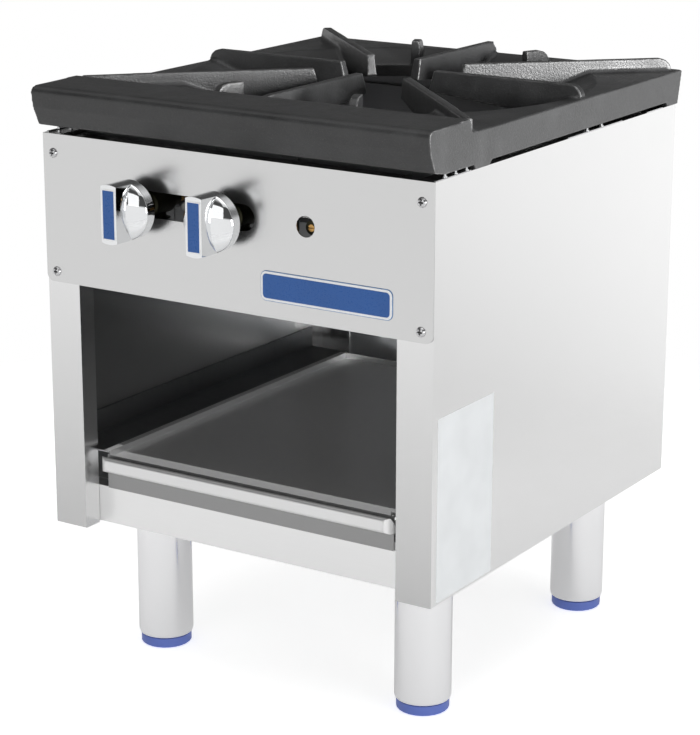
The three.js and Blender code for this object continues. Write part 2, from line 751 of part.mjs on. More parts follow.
/** Pilot burner head with its flame slot. */
function pilotBurner() {
  const base = pilotShelfZ + gap;
  const head = turned([
    [0, base + 6], [pilotTubeRadius + gap, base + 6], [pilotTubeRadius + gap, base],
    [pilotHeadRadius, base], [pilotHeadRadius, base + pilotHeadHeight - 3],
    [pilotHeadRadius - 3, base + pilotHeadHeight], [0, base + pilotHeadHeight],
  ], pilotHeadX, pilotHeadY, 20);
  const slot = block(pilotHeadX - 1.5, pilotHeadX + 1.5, pilotHeadY, pilotHeadY + pilotHeadRadius + 1,
    base + 9, base + pilotHeadHeight - 4);
  return head.subtract(slot);
}

/** Thin tube from the pilot valve to the pilot burner. */
function pilotTube() {
  const start = pilotBodyFront + pilotBodyLength + 8 + gap;
  return bentTube([
    [pilotX, start, controlZ], [pilotX, pilotHeadY, controlZ],
    [pilotHeadX, pilotHeadY, controlZ], [pilotHeadX, pilotHeadY, pilotShelfZ + gap + 5],
  ], pilotTubeRadius, 9, 8);
}

function buildGasTrain() {
  piece("gas_manifold", manifoldPipe(), "blackSteel");
  piece("tap_plug", tapPlugScrew(), "galvanised");
  for (const [name, x] of [["left", valveX[0]], ["right", valveX[1]]]) {
    piece(`gas_valve_${name}`, gasValve(x), "brass");
    piece(`orifice_hood_${name}`, orificeHood(x), "brass");
  }
  for (const [name, x] of [["left", knobMiddle], ["right", (valveX[1] + pilotX) / 2]]) {
    piece(`manifold_strap_${name}`, manifoldStrap(x), "galvanised");
  }
  piece("pilot_valve", pilotValve(), "brass");
  piece("pilot_adjuster", pilotAdjuster(), "brass");
  piece("pilot_bracket", pilotBracket(), "galvanised");
  piece("pilot_burner", pilotBurner(), "galvanised");
  piece("pilot_tube", pilotTube(), "galvanised");
}

// ---------------------------------------------------------------------------
// Burner
// ---------------------------------------------------------------------------

/** Hollow-looking cast ring: flat flame face with bevelled shoulders. */
function burnerRing(radius, width, segments) {
  const inner = radius - width / 2;
  const outer = radius + width / 2;
  return turned([
    [inner + 1, ringFloor], [outer - 1, ringFloor],
    [outer, burnerTop - ringShoulder], [outer - ringShoulder, burnerTop],
    [inner + ringShoulder, burnerTop], [inner, burnerTop - ringShoulder],
  ], 0, grateCentreY, segments);
}

/** Mixer tube from the mouth behind a valve to a riser under a ring. */
function mixer(x, riserY) {
  const bellBack = mixerFace + bellLength;
  const tube = turnedAlongY([
    [0, mixerFace + 4], [0, riserY], [mixerRadius * 0.7, riserY], [mixerRadius, riserY - 6],
    [mixerRadius, bellBack], [mixerBell, mixerFace + 6], [mixerBell, mixerFace],
    [mixerCollar, mixerFace], [mixerCollar, collarFace], [hoodRadius + gap, collarFace],
    [hoodRadius + gap, mixerFace + 4],
  ], x, mixerZ, 20);
  const riser = rod("z", mixerZ, ringFloor + 4, mixerRadius * 0.8, [x, riserY - mixerRadius]);
  const windows = [0, 1, 2].map((i) => {
    const angle = (i * 2 * Math.PI) / 3;
    const reach = (mixerCollar + mixerBell) / 2;
    return rod("y", mixerFace - 1, mixerFace + 3, (mixerBell - mixerCollar) / 2 - 2,
      [x + reach * Math.sin(angle), mixerZ + reach * Math.cos(angle)], 12);
  });
  return tube.add(riser).subtract(join(windows));
}

/** Feet that stand a ring on the two burner bars. */
function burnerFeet(radius) {
  const x = Math.sqrt(radius ** 2 - burnerBarOffset ** 2);
  const feet = [];
  for (const side of [-1, 1]) {
    for (const end of [-1, 1]) {
      feet.push(rod("z", burnerBarTop + gap, ringFloor + 2, burnerFoot,
        [side * x, grateCentreY + end * burnerBarOffset], 16));
    }
  }
  return join(feet);
}

function outerBurner() {
  const x = valveX[0];
  const riserY = grateCentreY - Math.sqrt(outerRingRadius ** 2 - x ** 2) + mixerRadius;
  return join([
    burnerRing(outerRingRadius, ringWidth, 44), mixer(x, riserY), burnerFeet(outerRingRadius),
  ]);
}

function innerBurner() {
  const x = valveX[1];
  const riserY = grateCentreY - Math.sqrt(middleRingRadius ** 2 - x ** 2) + mixerRadius;
  const arms = [0, 1, 2].map((i) => {
    const arm = block(-armWidth / 2, armWidth / 2, centreRingRadius, middleRingRadius,
      ringFloor, burnerTop - ringShoulder);
    return turnedPlan(arm, 60 + i * 120, 0, grateCentreY);
  });
  return join([
    burnerRing(middleRingRadius, ringWidth - 4, 32), burnerRing(centreRingRadius, centreRingWidth, 20),
    mixer(x, riserY), burnerFeet(middleRingRadius), ...arms,
  ]);
}

/** Rotating air shutter on a mixer's collar. */
function airShutter(x) {
  const back = mixerFace - gap;
  const disc = turnedAlongY([
    [mixerCollar + gap, back - shutterThickness], [mixerBell, back - shutterThickness],
    [mixerBell, back], [mixerCollar + gap, back],
  ], x, mixerZ, 24);
  const reach = (mixerCollar + mixerBell) / 2;
  const windows = [0, 1, 2].map((i) => {
    const angle = (i * 2 * Math.PI) / 3 + 0.35;
    return rod("y", back - 4, back + 4, (mixerBell - mixerCollar) / 2 - 2,
      [x + reach * Math.sin(angle), mixerZ + reach * Math.cos(angle)], 12);
  });
  const tab = block(x - 4, x + 4, back - shutterThickness - 8, back - shutterThickness + 0.5,
    mixerZ - mixerBell, mixerZ - mixerBell + 2);
  return disc.subtract(join(windows)).add(tab);
}

/** Angle bar across the cabinet that the burner stands on. */
function burnerBar(y, facing) {
  const section = foldedSection([
    [y - (facing * burnerBarLeg) / 2, burnerBarTop], [y + (facing * burnerBarLeg) / 2, burnerBarTop],
    [y + (facing * burnerBarLeg) / 2, burnerBarTop - burnerBarLeg],
  ], -facing * barThickness);
  return prism("x", facing > 0 ? section.reverse() : section, -innerHalf, innerHalf);
}

/** Three-sided sheet shield round the burner. */
function heatShield() {
  const back = bodyDepth - shieldBackGap;
  const section = foldedSection([
    [-shieldHalfWidth, shieldFrontY], [-shieldHalfWidth, back], [shieldHalfWidth, back],
    [shieldHalfWidth, shieldFrontY],
  ], -sheet);
  return prism("z", section.reverse(), burnerBarTop + gap, shieldTop);
}

function buildBurner() {
  piece("burner_outer", outerBurner(), "castIron");
  piece("burner_inner", innerBurner(), "castIron");
  piece("air_shutter_left", airShutter(valveX[0]), "galvanised");
  piece("air_shutter_right", airShutter(valveX[1]), "galvanised");
  piece("burner_bar_front", burnerBar(grateCentreY - burnerBarOffset, -1), "galvanised");
  piece("burner_bar_rear", burnerBar(grateCentreY + burnerBarOffset, 1), "galvanised");
  piece("heat_shield", heatShield(), "stainless");
}

// ---------------------------------------------------------------------------
// Drip tray
// ---------------------------------------------------------------------------

/** Tray: shallow dished floor with hemmed sides, front apron and a rounded pull lip. */
function dripTray() {
  const back = trayFrontY + trayDepth;
  const floor = trayTop - trayDish - sheet;
  const section = foldedSection([
    [-trayHalfWidth, trayTop - sheet], [-trayInner, trayTop - sheet], [-trayInner, floor],
    [trayInner, floor], [trayInner, trayTop - sheet], [trayHalfWidth, trayTop - sheet],
  ], sheet);
  const lipTop = trayTop - trayLipDrop;
  const lip = new THREE.Shape();
  const round = 4;
  lip.moveTo(trayFrontY + sheet, lipTop);
  lip.absarc(trayFrontY - trayLipDepth + round, lipTop - round, round, Math.PI / 2, Math.PI);
  lip.absarc(trayFrontY - trayLipDepth + round, lipTop - trayLipHeight + round, round,
    Math.PI, 1.5 * Math.PI);
  lip.lineTo(trayFrontY + sheet, lipTop - trayLipHeight);
  const corner = new THREE.Shape();
  corner.moveTo(trayHalfWidth, trayFrontY + sheet);
  corner.lineTo(-trayHalfWidth, trayFrontY + sheet);
  corner.absarc(-trayHalfWidth + trayLipDepth, trayFrontY, trayLipDepth, Math.PI, 1.5 * Math.PI);
  corner.absarc(trayHalfWidth - trayLipDepth, trayFrontY, trayLipDepth, 1.5 * Math.PI, 2 * Math.PI);
  const apron = trayHalfWidth - trayApronInset;
  const roundedLip = prism("x", lip, -trayHalfWidth, trayHalfWidth)
    .intersect(prism("z", corner, lipTop - trayLipHeight - 1, lipTop + 1));
  return join([
    prism("y", section, trayFrontY, back),
    block(-apron, apron, trayFrontY, trayFrontY + sheet, trayBottom, lipTop),
    block(-trayInner, trayInner, back - sheet, back, floor, trayTop),
    roundedLip,
  ]);
}

/** Angle on a side wall whose ledge carries one of the tray's hems. */
function trayRunner() {
  const ledge = trayTop - sheet - gap;
  const section = foldedSection([
    [trayInner + runnerClearance, ledge - sheet], [innerHalf, ledge - sheet],
    [innerHalf, ledge + runnerWall],
  ], sheet);
  return prism("y", section, frontPostReturn + 2 * gap, sideBack - runnerEndGap);
}

function buildTray() {
  piece("drip_tray", dripTray(), "stainless");
  const runner = trayRunner();
  piece("tray_runner_right", runner, "galvanised");
  piece("tray_runner_left", mirrored(runner), "galvanised");
}

// ---------------------------------------------------------------------------
// Legs
// ---------------------------------------------------------------------------

/** Leg: square bolting plate, tube and the insert that the foot screws into. */
function leg(x, y) {
  const plateTop = underside - gap;
  const plateFloor = plateTop - legPlateThickness;
  const bore = legRadius - legTubeWall;
  const round = 4;
  const tube = turned([
    [footStem + gap, legBottom], [legRadius - round, legBottom], [legRadius - 1, legBottom + 1],
    [legRadius, legBottom + round], [legRadius, plateFloor], [bore, plateFloor],
    [bore, legBottom + legInsert], [footStem + gap, legBottom + legInsert],
  ], x, y, 28);
  const half = legPlate / 2;
  return tube.add(block(x - half, x + half, y - half, y + half, plateFloor - 0.01, plateTop));
}

/** Levelling foot: capped disc on a stem that runs in the leg's insert. */
function foot(x, y) {
  const discTop = legBottom - gap;
  return turned([
    [0, 0], [footRadius - 1.5, 0], [footRadius, 1.5], [footRadius, discTop], [footStem, discTop],
    [footStem, discTop + footStemLength], [0, discTop + footStemLength],
  ], x, y, 24);
}

function buildLegs() {
  for (const [side, x] of [["left", -(halfWidth - legInset)], ["right", halfWidth - legInset]]) {
    for (const [end, y] of [["front", legFrontY], ["rear", legRearY]]) {
      piece(`leg_${end}_${side}`, leg(x, y), "paintedLeg");
      piece(`foot_${end}_${side}`, foot(x, y), "blueCap");
    }
  }
}

// ---------------------------------------------------------------------------
// Top grate
// ---------------------------------------------------------------------------

/** Side outline (Y, Z) of the casting: front nose, flat rim and drafted back, with feet. */
function grateOutline() {
  const notch = footZ + grateNotch;
  const noseRound = 8;
  const outline = new THREE.Shape();
  outline.moveTo(grateNoseFront + 10.5, footZ + 8);
  outline.lineTo(grateNoseFront + 2, grateTop - grateNoseRoll);
  outline.lineTo(grateNoseFront, grateTop - noseRound);
  outline.quadraticCurveTo(grateNoseFront, grateTop - 1, grateNoseFront + 12, grateTop - 1);
  outline.lineTo(grateNoseBack, grateTop);
  outline.lineTo(grateNoseBack + 5, grateRim);
  outline.lineTo(grateBackY - 2, grateRim);
  outline.lineTo(grateBackY, grateRim - 2);
  outline.lineTo(grateBackY - 8, footZ);
  outline.lineTo(grateBackY - 8 - grateFootBack, footZ);
  outline.lineTo(grateBackY - 8 - grateFootBack - 6, notch);
  outline.lineTo(grateFootFront + 6, notch);
  outline.lineTo(grateFootFront, footZ);
  outline.lineTo(grateFootFront - grateFootLength, footZ);
  outline.lineTo(grateFootFront - grateFootLength - 4, notch);
  outline.lineTo(grateNoseFront + grateNoseToe, notch);
  outline.closePath();
  return outline;
}

/** The space inside the skirt, left open underneath. */
function grateHollow() {
  const low = footZ - grateWall;
  return [
    [grateNoseFront + grateWall + 10, low], [grateNoseFront + grateWall + 10, footZ + 10],
    [grateNoseFront + grateWall, grateTop - 14], [grateNoseFront + grateWall + 4, grateTop - grateWall],
    [grateNoseBack - grateWall, grateTop - grateWall], [grateNoseBack - 2, grateRim - grateWall],
    [grateBackY - grateWall, grateRim - grateWall], [grateBackY - 8 - grateWall, low],
  ];
}

/** Height of the bowl's surface at a distance from its middle. */
function bowlHeight(r) {
  if (r >= bowlRadius) return grateRim;
  const slope = (grateRim - throatTop) / (bowlRadius - throatRadius);
  return grateRim - (bowlRadius - Math.max(r, throatRadius)) * slope;
}

/** Lofted bar along +X: at each station [r, low, high] its half width grows from the top down. */
function draftedBar(stations, halfWidthAt) {
  const vertices = stations.flatMap(([r, low, high]) => [
    r, -halfWidthAt(low), low, r, halfWidthAt(low), low,
    r, halfWidthAt(high), high, r, -halfWidthAt(high), high,
  ]);
  return ringSolid(vertices, stations.length, 4);
}

const ribHalfAt = (z) => ribTopWidth / 2 + (grateTop - z) * ribDraft;

/** Heights of a rib's rounded outer end, as stations of [r, low, high]. */
function roundedEnd(outer, low) {
  const stations = [];
  for (const turn of [0, 30, 55, 75, 88]) {
    const angle = (turn * Math.PI) / 180;
    stations.push([
      outer - ribOuterRound + ribOuterRound * Math.sin(angle), low,
      grateTop - ribOuterRound + ribOuterRound * Math.cos(angle),
    ]);
  }
  return stations;
}

/** Rib from the middle square out to the rim, its underside falling to the throat. */
function rib(innerR, outerR, roundOuter) {
  const innerLow = grateTop - ribInnerDepth;
  const throatLow = innerLow - ribUndersideDrop;
  const buried = grateRim - grateWall + 2;
  const stations = [
    [innerR - ribInnerSlant, innerLow, innerLow + 1], [innerR, innerLow - 0.5, grateTop],
    [throatRadius + 2, throatLow, grateTop], [throatRadius + grateWall - 1, throatTop - 4, grateTop],
    [bowlRadius, buried, grateTop],
  ];
  if (roundOuter) stations.push(...roundedEnd(outerR, buried));
  else stations.push([outerR, buried, grateTop - 0.5]);
  return draftedBar(stations.filter((s, i) => i === 0 || s[0] > stations[i - 1][0] + 0.5), ribHalfAt);
}

/** Fillet strip along both sides of a rib, following the bowl and the rim. */
function ribFillet(fromR, toR) {
  const stations = toR > bowlRadius ? [fromR, bowlRadius, toR] : [fromR, toR];
  const vertices = stations.flatMap((r) => {
    const surface = bowlHeight(r);
    const wide = ribHalfAt(surface) + ribFilletWidth;
    const high = surface + ribFilletHeight;
    const narrow = ribHalfAt(high) - 0.2;
    return [
      r, -wide, surface - 3, r, wide, surface - 3, r, wide, surface + 0.4,
      r, wide - ribFilletWidth * 0.6, surface + ribFilletHeight * 0.3,
      r, narrow, high, r, -narrow, high,
      r, ribFilletWidth * 0.6 - wide, surface + ribFilletHeight * 0.3, r, -wide, surface + 0.4,
    ];
  });
  return ringSolid(vertices, stations.length, 8);
}

/** The eight ribs: plan angle, inner and outer reach, and whether the outer end is rounded. */
function ribPlan() {
  const toNose = grateCentreY - grateNoseBack;
  const toBack = grateBackY - 3 - grateCentreY;
  const toSide = halfWidth;
  const frontCorner = [toSide - 2, -(toNose - 4)];
  const rearCorner = [toSide - cornerRibSideInset, toBack - cornerRibBackInset];
  const plan = [
    { angle: 0, inner: ribInnerHalf, outer: toSide, round: true },
    { angle: 180, inner: ribInnerHalf, outer: toSide, round: true },
    { angle: 90, inner: ribInnerHalf, outer: toBack, round: true },
    { angle: -90, inner: ribInnerHalf, outer: toNose, round: false },
  ];
  for (const [corner, round] of [[frontCorner, false], [rearCorner, true]]) {
    const angle = (Math.atan2(corner[1], corner[0]) * 180) / Math.PI;
    const outer = Math.hypot(...corner);
    plan.push({ angle, inner: ribInnerHalf * Math.SQRT2, outer, round });
    plan.push({ angle: 180 - angle, inner: ribInnerHalf * Math.SQRT2, outer, round });
  }
  return plan;
}

function topGrate() {
  const half = halfWidth + grateOverhang;
  let casting = prism("x", grateOutline(), -half, half);
  casting = casting.subtract(prism("x", grateHollow(), -half + grateWall, half - grateWall));
  casting = casting.subtract(rod("z", grateRim - grateWall - 4, grateRim + 1, bowlRadius + 1,
    [0, grateCentreY], 80));

  const under = throatTop - 5.5;
  const bowl = turned([
    [bowlRadius, grateRim], [throatRadius, throatTop], [throatRadius, throatFoot],
    [throatRadius + grateWall, throatFoot], [throatRadius + grateWall, under],
    [bowlRadius + 4, grateRim - grateWall], [bowlRadius + 4, grateRim],
  ], 0, grateCentreY, 80);
  casting = casting.add(bowl.intersect(block(-half + 1, half - 1, grateNoseBack - 2, grateBackY - 2,
    throatFoot - 1, grateRim + 1)));

  const place = (bar, angle) => turnedPlan(bar, angle, 0, grateCentreY);
  for (const { angle, inner, outer, round } of ribPlan()) {
    casting = casting.add(place(rib(inner, outer, round), angle));
    casting = casting.add(place(ribFillet(throatRadius + 0.5, outer - (round ? 5 : 2)), angle));
  }
  for (const facing of [1, -1]) {
    for (const side of [-1, 1]) {
      const outer = throatRadius + stubLength;
      const stub = draftedBar([
        [throatRadius + 0.5, throatTop - 4, grateTop],
        ...roundedEnd(outer, bowlHeight(outer) - 7),
      ], ribHalfAt);
      casting = casting.add(place(stub, facing * 90 + side * stubAngle));
    }
  }
  return casting;
}

// ---------------------------------------------------------------------------
// The whole range
// ---------------------------------------------------------------------------

buildCabinet();
buildControls();
buildGasTrain();
buildBurner();
buildTray();
buildLegs();
piece("top_grate", topGrate(), "castIron");

const frontMost = -knobStandoff - knobRim - knobBarStand;
const backMost = bodyDepth + inletStub;
range.position.set(0, -(frontMost + backMost) / 2, 0);

export default range;
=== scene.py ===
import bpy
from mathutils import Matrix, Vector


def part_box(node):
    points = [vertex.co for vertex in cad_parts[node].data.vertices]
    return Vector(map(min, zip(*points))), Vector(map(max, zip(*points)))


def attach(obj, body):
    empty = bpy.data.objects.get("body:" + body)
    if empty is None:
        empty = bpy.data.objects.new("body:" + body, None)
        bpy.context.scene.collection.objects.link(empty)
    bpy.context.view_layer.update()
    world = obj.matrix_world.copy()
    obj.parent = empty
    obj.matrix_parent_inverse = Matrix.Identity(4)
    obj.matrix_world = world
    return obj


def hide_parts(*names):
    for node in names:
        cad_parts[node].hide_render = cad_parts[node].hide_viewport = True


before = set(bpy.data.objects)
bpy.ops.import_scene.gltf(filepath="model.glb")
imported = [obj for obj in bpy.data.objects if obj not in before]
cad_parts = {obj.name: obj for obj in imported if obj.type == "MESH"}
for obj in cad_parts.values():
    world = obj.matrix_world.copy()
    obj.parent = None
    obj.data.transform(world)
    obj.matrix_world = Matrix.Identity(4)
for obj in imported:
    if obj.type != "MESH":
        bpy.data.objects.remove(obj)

"""Looks of a single-burner stock pot range: finishes, fine parts, floor, light and camera.

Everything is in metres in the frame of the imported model: X to the right, Y to the back, Z up,
with the origin on the floor under the middle of the range.
"""

import functools
import logging
import math
from dataclasses import dataclass
from enum import Enum
from typing import Callable, Iterable, Sequence

import bmesh
import bpy
from bpy.types import ID, Material, Mesh, Node, NodeOutputs, NodeSocket, NodeTree, Object
from mathutils import Matrix, Vector

LOG = logging.getLogger("range")
MM = 0.001
MERGE_DISTANCE = 1e-7
WELD_DISTANCE = 0.002 * MM
ROUNDED_FROM = math.radians(35)  # edges sharper than this are rounded
SHARP_FROM = math.radians(32)  # and those sharper than this shade sharp
NEAR_RIM = 0.9995  # outermost station across a disc, just inside its rim
RIGHT, BACK, UP = Vector((1, 0, 0)), Vector((0, 1, 0)), Vector((0, 0, 1))

# Faces of the cabinet and the tray, which tell one area of a sheet from another for the painted
# shade and the painted lit strip
INNER_HALF = 227.1 * MM
POST_END = -224.1 * MM
BACK_FACE = 258.4 * MM
TOP_FACE = 566.0 * MM
BRIM_END = -203.5 * MM
APRON_FACE = -226.25 * MM
FACE_MARGIN = 0.5 * MM
# The front's lower shade is painted shade: darker toward its foot, in place of a darker reflection
LOW_FRONT = (160 * MM, 420 * MM)  # heights between which the front fades to its lower shade
LAMP_AIM = 0.35  # height that the lamps face
BOWL_SHIFT = 38.5 * MM  # middle of the bowl behind the middle of the casting

Colour = tuple[float, float, float]
Point = tuple[float, float, float]
Pair = tuple[float, float]
Steps = tuple[float, float, float, float]
Profile = list[Pair]
BLACK: Colour = (0.0, 0.0, 0.0)
NOWHERE: Point = (0.0, 0.0, 0.0)

# Shared effects: scale of a second noise as a share of the first one's, and slope of the edge wear
# and painted edge highlight
STREAK_SHARE = 0.12
SMUDGE_SHARE = 5.0
LUMP_SHARE = 0.28
WEAR_AND_HIGHLIGHT_SLOPE = 16.0


def grey(level: float) -> Colour:
    """Returns a neutral colour."""
    return (level, level, level)


def shaded(colour: Colour, factor: float) -> Colour:
    """Returns a colour made darker or lighter by a factor, at most white."""
    return tuple(min(1.0, c * factor) for c in colour)


def in_mm(*points: Pair) -> Profile:
    """Returns a profile in metres, from points given in millimetres."""
    return [(radius * MM, height * MM) for radius, height in points]


# Wiring of node trees


class Wiring:
    """A node tree that is being filled and joined up."""

    def __init__(self, tree: NodeTree) -> None:
        """Starts from an existing tree."""
        self.tree = tree

    def add(self, kind: str, inputs: dict | None = None, **settings: object) -> Node:
        """Adds a node.

        Args:
            kind: Blender's type name of the node.
            inputs: Values or sockets for its inputs, by name or number.
            **settings: Attributes of the node itself.

        Returns:
            The new node.
        """
        node = self.tree.nodes.new(kind)
        for key, value in settings.items():
            setattr(node, key, value)
        for key, value in (inputs or {}).items():
            self.feed(node.inputs[key], value)
        return node

    def feed(self, socket: NodeSocket, value: object) -> None:
        """Links a socket into an input, or sets the input's value.

        Args:
            socket: The input.
            value: An output socket, a number, or a sequence of numbers.
        """
        if isinstance(value, NodeSocket):
            self.tree.links.new(value, socket)
        elif isinstance(value, (tuple, list)) and len(value) == 3 and socket.type == "RGBA":
            socket.default_value = (*value, 1.0)
        else:
            socket.default_value = value

    def noise(self, vector: NodeSocket, scale: object, detail: float = 3.0,
              roughness: float = 0.5, distortion: float = 0.0) -> NodeSocket:
        """Adds a noise texture.

        Args:
            vector: Coordinates that it is looked up by.
            scale: Waves per metre.
            detail: Octaves of finer noise.
            roughness: Strength of the finer noise.
            distortion: How far it is warped.

        Returns:
            The noise's value, about 0 to 1.
        """
        return self.add("ShaderNodeTexNoise", {
            "Vector": vector, "Scale": scale, "Detail": detail, "Roughness": roughness,
            "Distortion": distortion}).outputs["Fac"]

    def split(self, vector: NodeSocket) -> NodeOutputs:
        """Returns a vector's X, Y and Z."""
        return self.add("ShaderNodeSeparateXYZ", {0: vector}).outputs

    def span(self, value: NodeSocket, low: float, high: float, to_low: float = 0.0,
             to_high: float = 1.0) -> NodeSocket:
        """Maps values from low to high onto those from to_low to to_high, clamped."""
        inputs = dict(enumerate((value, low, high, to_low, to_high)))
        return self.add("ShaderNodeMapRange", inputs, clamp=True).outputs["Result"]

    def calc(self, operation: str, first: object, second: object = 0.0) -> NodeSocket:
        """Adds a sum of two values by a named operation and returns its result."""
        return self.add("ShaderNodeMath", {0: first, 1: second}, operation=operation).outputs[0]

    def times(self, *values: object) -> NodeSocket:
        """Multiplies values and returns their product."""
        return functools.reduce(functools.partial(self.calc, "MULTIPLY"), values)

    def blend(self, factor: object, first: object, second: object) -> NodeSocket:
        """Mixes two colours: factor 0 gives the first and 1 the second."""
        return self.add("ShaderNodeMix", {0: factor, 6: first, 7: second},
                        data_type="RGBA").outputs[2]


class Effect(Wiring):
    """A shared effect: a shader node group with named sockets, in the making."""

    def __init__(self, name: str, **settings: object) -> None:
        """Starts the group, which takes coordinates besides its own inputs.

        Args:
            name: Name of the group.
            **settings: Start values of its own inputs, by name.
        """
        super().__init__(bpy.data.node_groups.new(name, "ShaderNodeTree"))
        for key, value in {"Coordinates": NOWHERE, **settings}.items():
            kind = "NodeSocketVector" if isinstance(value, tuple) else "NodeSocketFloat"
            socket = self.tree.interface.new_socket(name=key, in_out="INPUT", socket_type=kind)
            socket.default_value = value
        self.inside = self.add("NodeGroupInput").outputs
        self.place = self.inside["Coordinates"]

    def give(self, **results: NodeSocket) -> NodeTree:
        """Adds the group's outputs and joins them up.

        Args:
            **results: What each output gives, by name.

        Returns:
            The finished group.
        """
        for key in results:
            self.tree.interface.new_socket(name=key, in_out="OUTPUT",
                                           socket_type="NodeSocketFloat")
        outside = self.add("NodeGroupOutput")
        for key, value in results.items():
            self.feed(outside.inputs[key], value)
        return self.tree


@functools.cache
def brush_grain_group() -> NodeTree:
    """Brushed metal: fine lines and broader streaks along one direction.

    Returns:
        The group, with Lines and Streaks as 0 to 1 masks.
    """
    w = Effect("brush_grain", Stretch=NOWHERE, Fineness=30.0)
    fineness = w.inside["Fineness"]
    stretched = w.add("ShaderNodeVectorMath", {0: w.place, 1: w.inside["Stretch"]},
                      operation="MULTIPLY").outputs["Vector"]
    lines = w.noise(stretched, fineness, 4.0, 0.7)
    streaks = w.noise(stretched, w.times(fineness, STREAK_SHARE))
    return w.give(Lines=w.span(lines, 0.3, 0.7), Streaks=w.span(streaks, 0.35, 0.65))


@functools.cache
def handling_group() -> NodeTree:
    """Marks of wiping and handling: large soft clouds and a few smaller smudges.

    Returns:
        The group, with Clouds and Smudges as 0 to 1 masks.
    """
    w = Effect("handling_marks", Size=6.0)
    size = w.inside["Size"]
    clouds = w.noise(w.place, size, 2.0)
    smudges = w.noise(w.place, w.times(size, SMUDGE_SHARE), 5.0, 0.65, 0.8)
    return w.give(Clouds=w.span(clouds, 0.3, 0.7), Smudges=w.span(smudges, 0.52, 0.75))


@functools.cache
def cast_skin_group() -> NodeTree:
    """Skin of a sand casting: pebbled height, pits and slow blotches of colour.

    Returns:
        The group, with Height, Pits and Blotches.
    """
    w = Effect("cast_skin", Pebble=700.0)
    pebble = w.inside["Pebble"]
    lumps = w.add("ShaderNodeTexVoronoi", {"Vector": w.place,
                                           "Scale": w.times(pebble, LUMP_SHARE)})
    pits = w.span(lumps.outputs["Distance"], 0.0, 0.22, 1.0, 0.0)
    height = w.calc("SUBTRACT", w.noise(w.place, pebble, 3.0, 0.6), w.times(pits, 0.25))
    blotches = w.span(w.noise(w.place, 22.0, 4.0, 0.55), 0.35, 0.7)
    return w.give(Height=height, Pits=pits, Blotches=blotches)


@functools.cache
def painted_shade_group() -> NodeTree:
    """Masks of the sheet metal where painted shade and a painted lit strip go into the finish.

    Returns:
        The group, with 0 to 1 masks: Inside the cabinet for painted shade, Low where its front
            runs
        down to the legs for painted shade that stands in for a darker reflection, Brim for the
        tray's floor next to its lip for a painted lit strip, and Apron for the painted shadow of
        that lip.
    """
    w = Effect("painted_shade_masks")
    place = w.split(w.place)
    facing = w.split(w.add("ShaderNodeNewGeometry").outputs["Normal"])
    across = w.calc("LESS_THAN", w.calc("ABSOLUTE", place["X"]), INNER_HALF + FACE_MARGIN)
    behind = w.calc("GREATER_THAN", place["Y"], POST_END + FACE_MARGIN)
    before = w.calc("LESS_THAN", place["Y"], BACK_FACE - FACE_MARGIN)
    under = w.calc("LESS_THAN", place["Z"], TOP_FACE - FACE_MARGIN)
    frontal = w.span(facing["Y"], -0.9, -0.5, 1.0, 0.0)
    brim = w.span(place["Y"], BRIM_END - FACE_MARGIN, BRIM_END + FACE_MARGIN, 1.0, 0.0)
    recessed = w.calc("GREATER_THAN", place["Y"], APRON_FACE - FACE_MARGIN)
    return w.give(Inside=w.times(across, behind, before, under),
                  Low=w.times(frontal, w.span(place["Z"], *LOW_FRONT, 1.0, 0.0)),
                  Brim=w.times(brim, recessed, w.span(facing["Z"], 0.5, 0.9)),
                  Apron=w.times(frontal, recessed))


@functools.cache
def edge_wear_and_highlight_group() -> NodeTree:
    """Lighter outer edges, broken up by noise: partly wear, partly a painted highlight on the
    edges.

    Returns:
        The group, with one 0 to 1 mask of the lighter edges.
    """
    w = Effect("edge_wear", Start=0.518, Breakup=160.0)
    pointed = w.add("ShaderNodeNewGeometry").outputs["Pointiness"]
    sharp = w.times(w.calc("SUBTRACT", pointed, w.inside["Start"]), WEAR_AND_HIGHLIGHT_SLOPE)
    patchy = w.span(w.noise(w.place, w.inside["Breakup"]), 0.35, 0.6)
    kept = w.times(sharp, patchy)
    return w.give(Wear=w.add("ShaderNodeClamp", {"Value": kept}).outputs[0])


# Finishes


class Grain(Enum):
    """Direction that a metal is brushed in, as the stretch of its grain."""

    ALONG_X = (1.0, 90.0, 90.0)
    ALONG_Y = (90.0, 1.0, 90.0)
    ALONG_Z = (90.0, 90.0, 1.0)


class MaterialDraft(Wiring):
    """A material with its Principled shader and object coordinates ready to wire."""

    def __init__(self, name: str, metallic: float = 0.0, coat: float = 0.0) -> None:
        """Starts the material.

        Args:
            name: Name of the material.
            metallic: 1 for bare metal, 0 for paint, plastic or paper.
            coat: Weight of a clear coat.
        """
        self.material = bpy.data.materials.new(name)
        self.material.use_nodes = True
        super().__init__(self.material.node_tree)
        self.coordinates = self.add("ShaderNodeTexCoord").outputs["Object"]
        self.wire("Metallic", metallic)
        self.wire("Coat Weight", coat)

    def wire(self, name: str, value: object) -> None:
        """Feeds a value or a socket into one of the shader's inputs."""
        self.feed(self.tree.nodes["Principled BSDF"].inputs[name], value)

    def effect(self, group: NodeTree, **inputs: object) -> NodeOutputs:
        """Places a shared effect with values for its inputs, and returns what it gives."""
        return self.add("ShaderNodeGroup", {"Coordinates": self.coordinates, **inputs},
                        node_tree=group).outputs

    def bump(self, height: NodeSocket, distance: float, strength: float = 1.0) -> None:
        """Adds relief from a height mask, of a depth in metres that shows by its strength."""
        self.wire("Normal", self.add("ShaderNodeBump", {
            "Height": height, "Distance": distance, "Strength": strength}).outputs["Normal"])


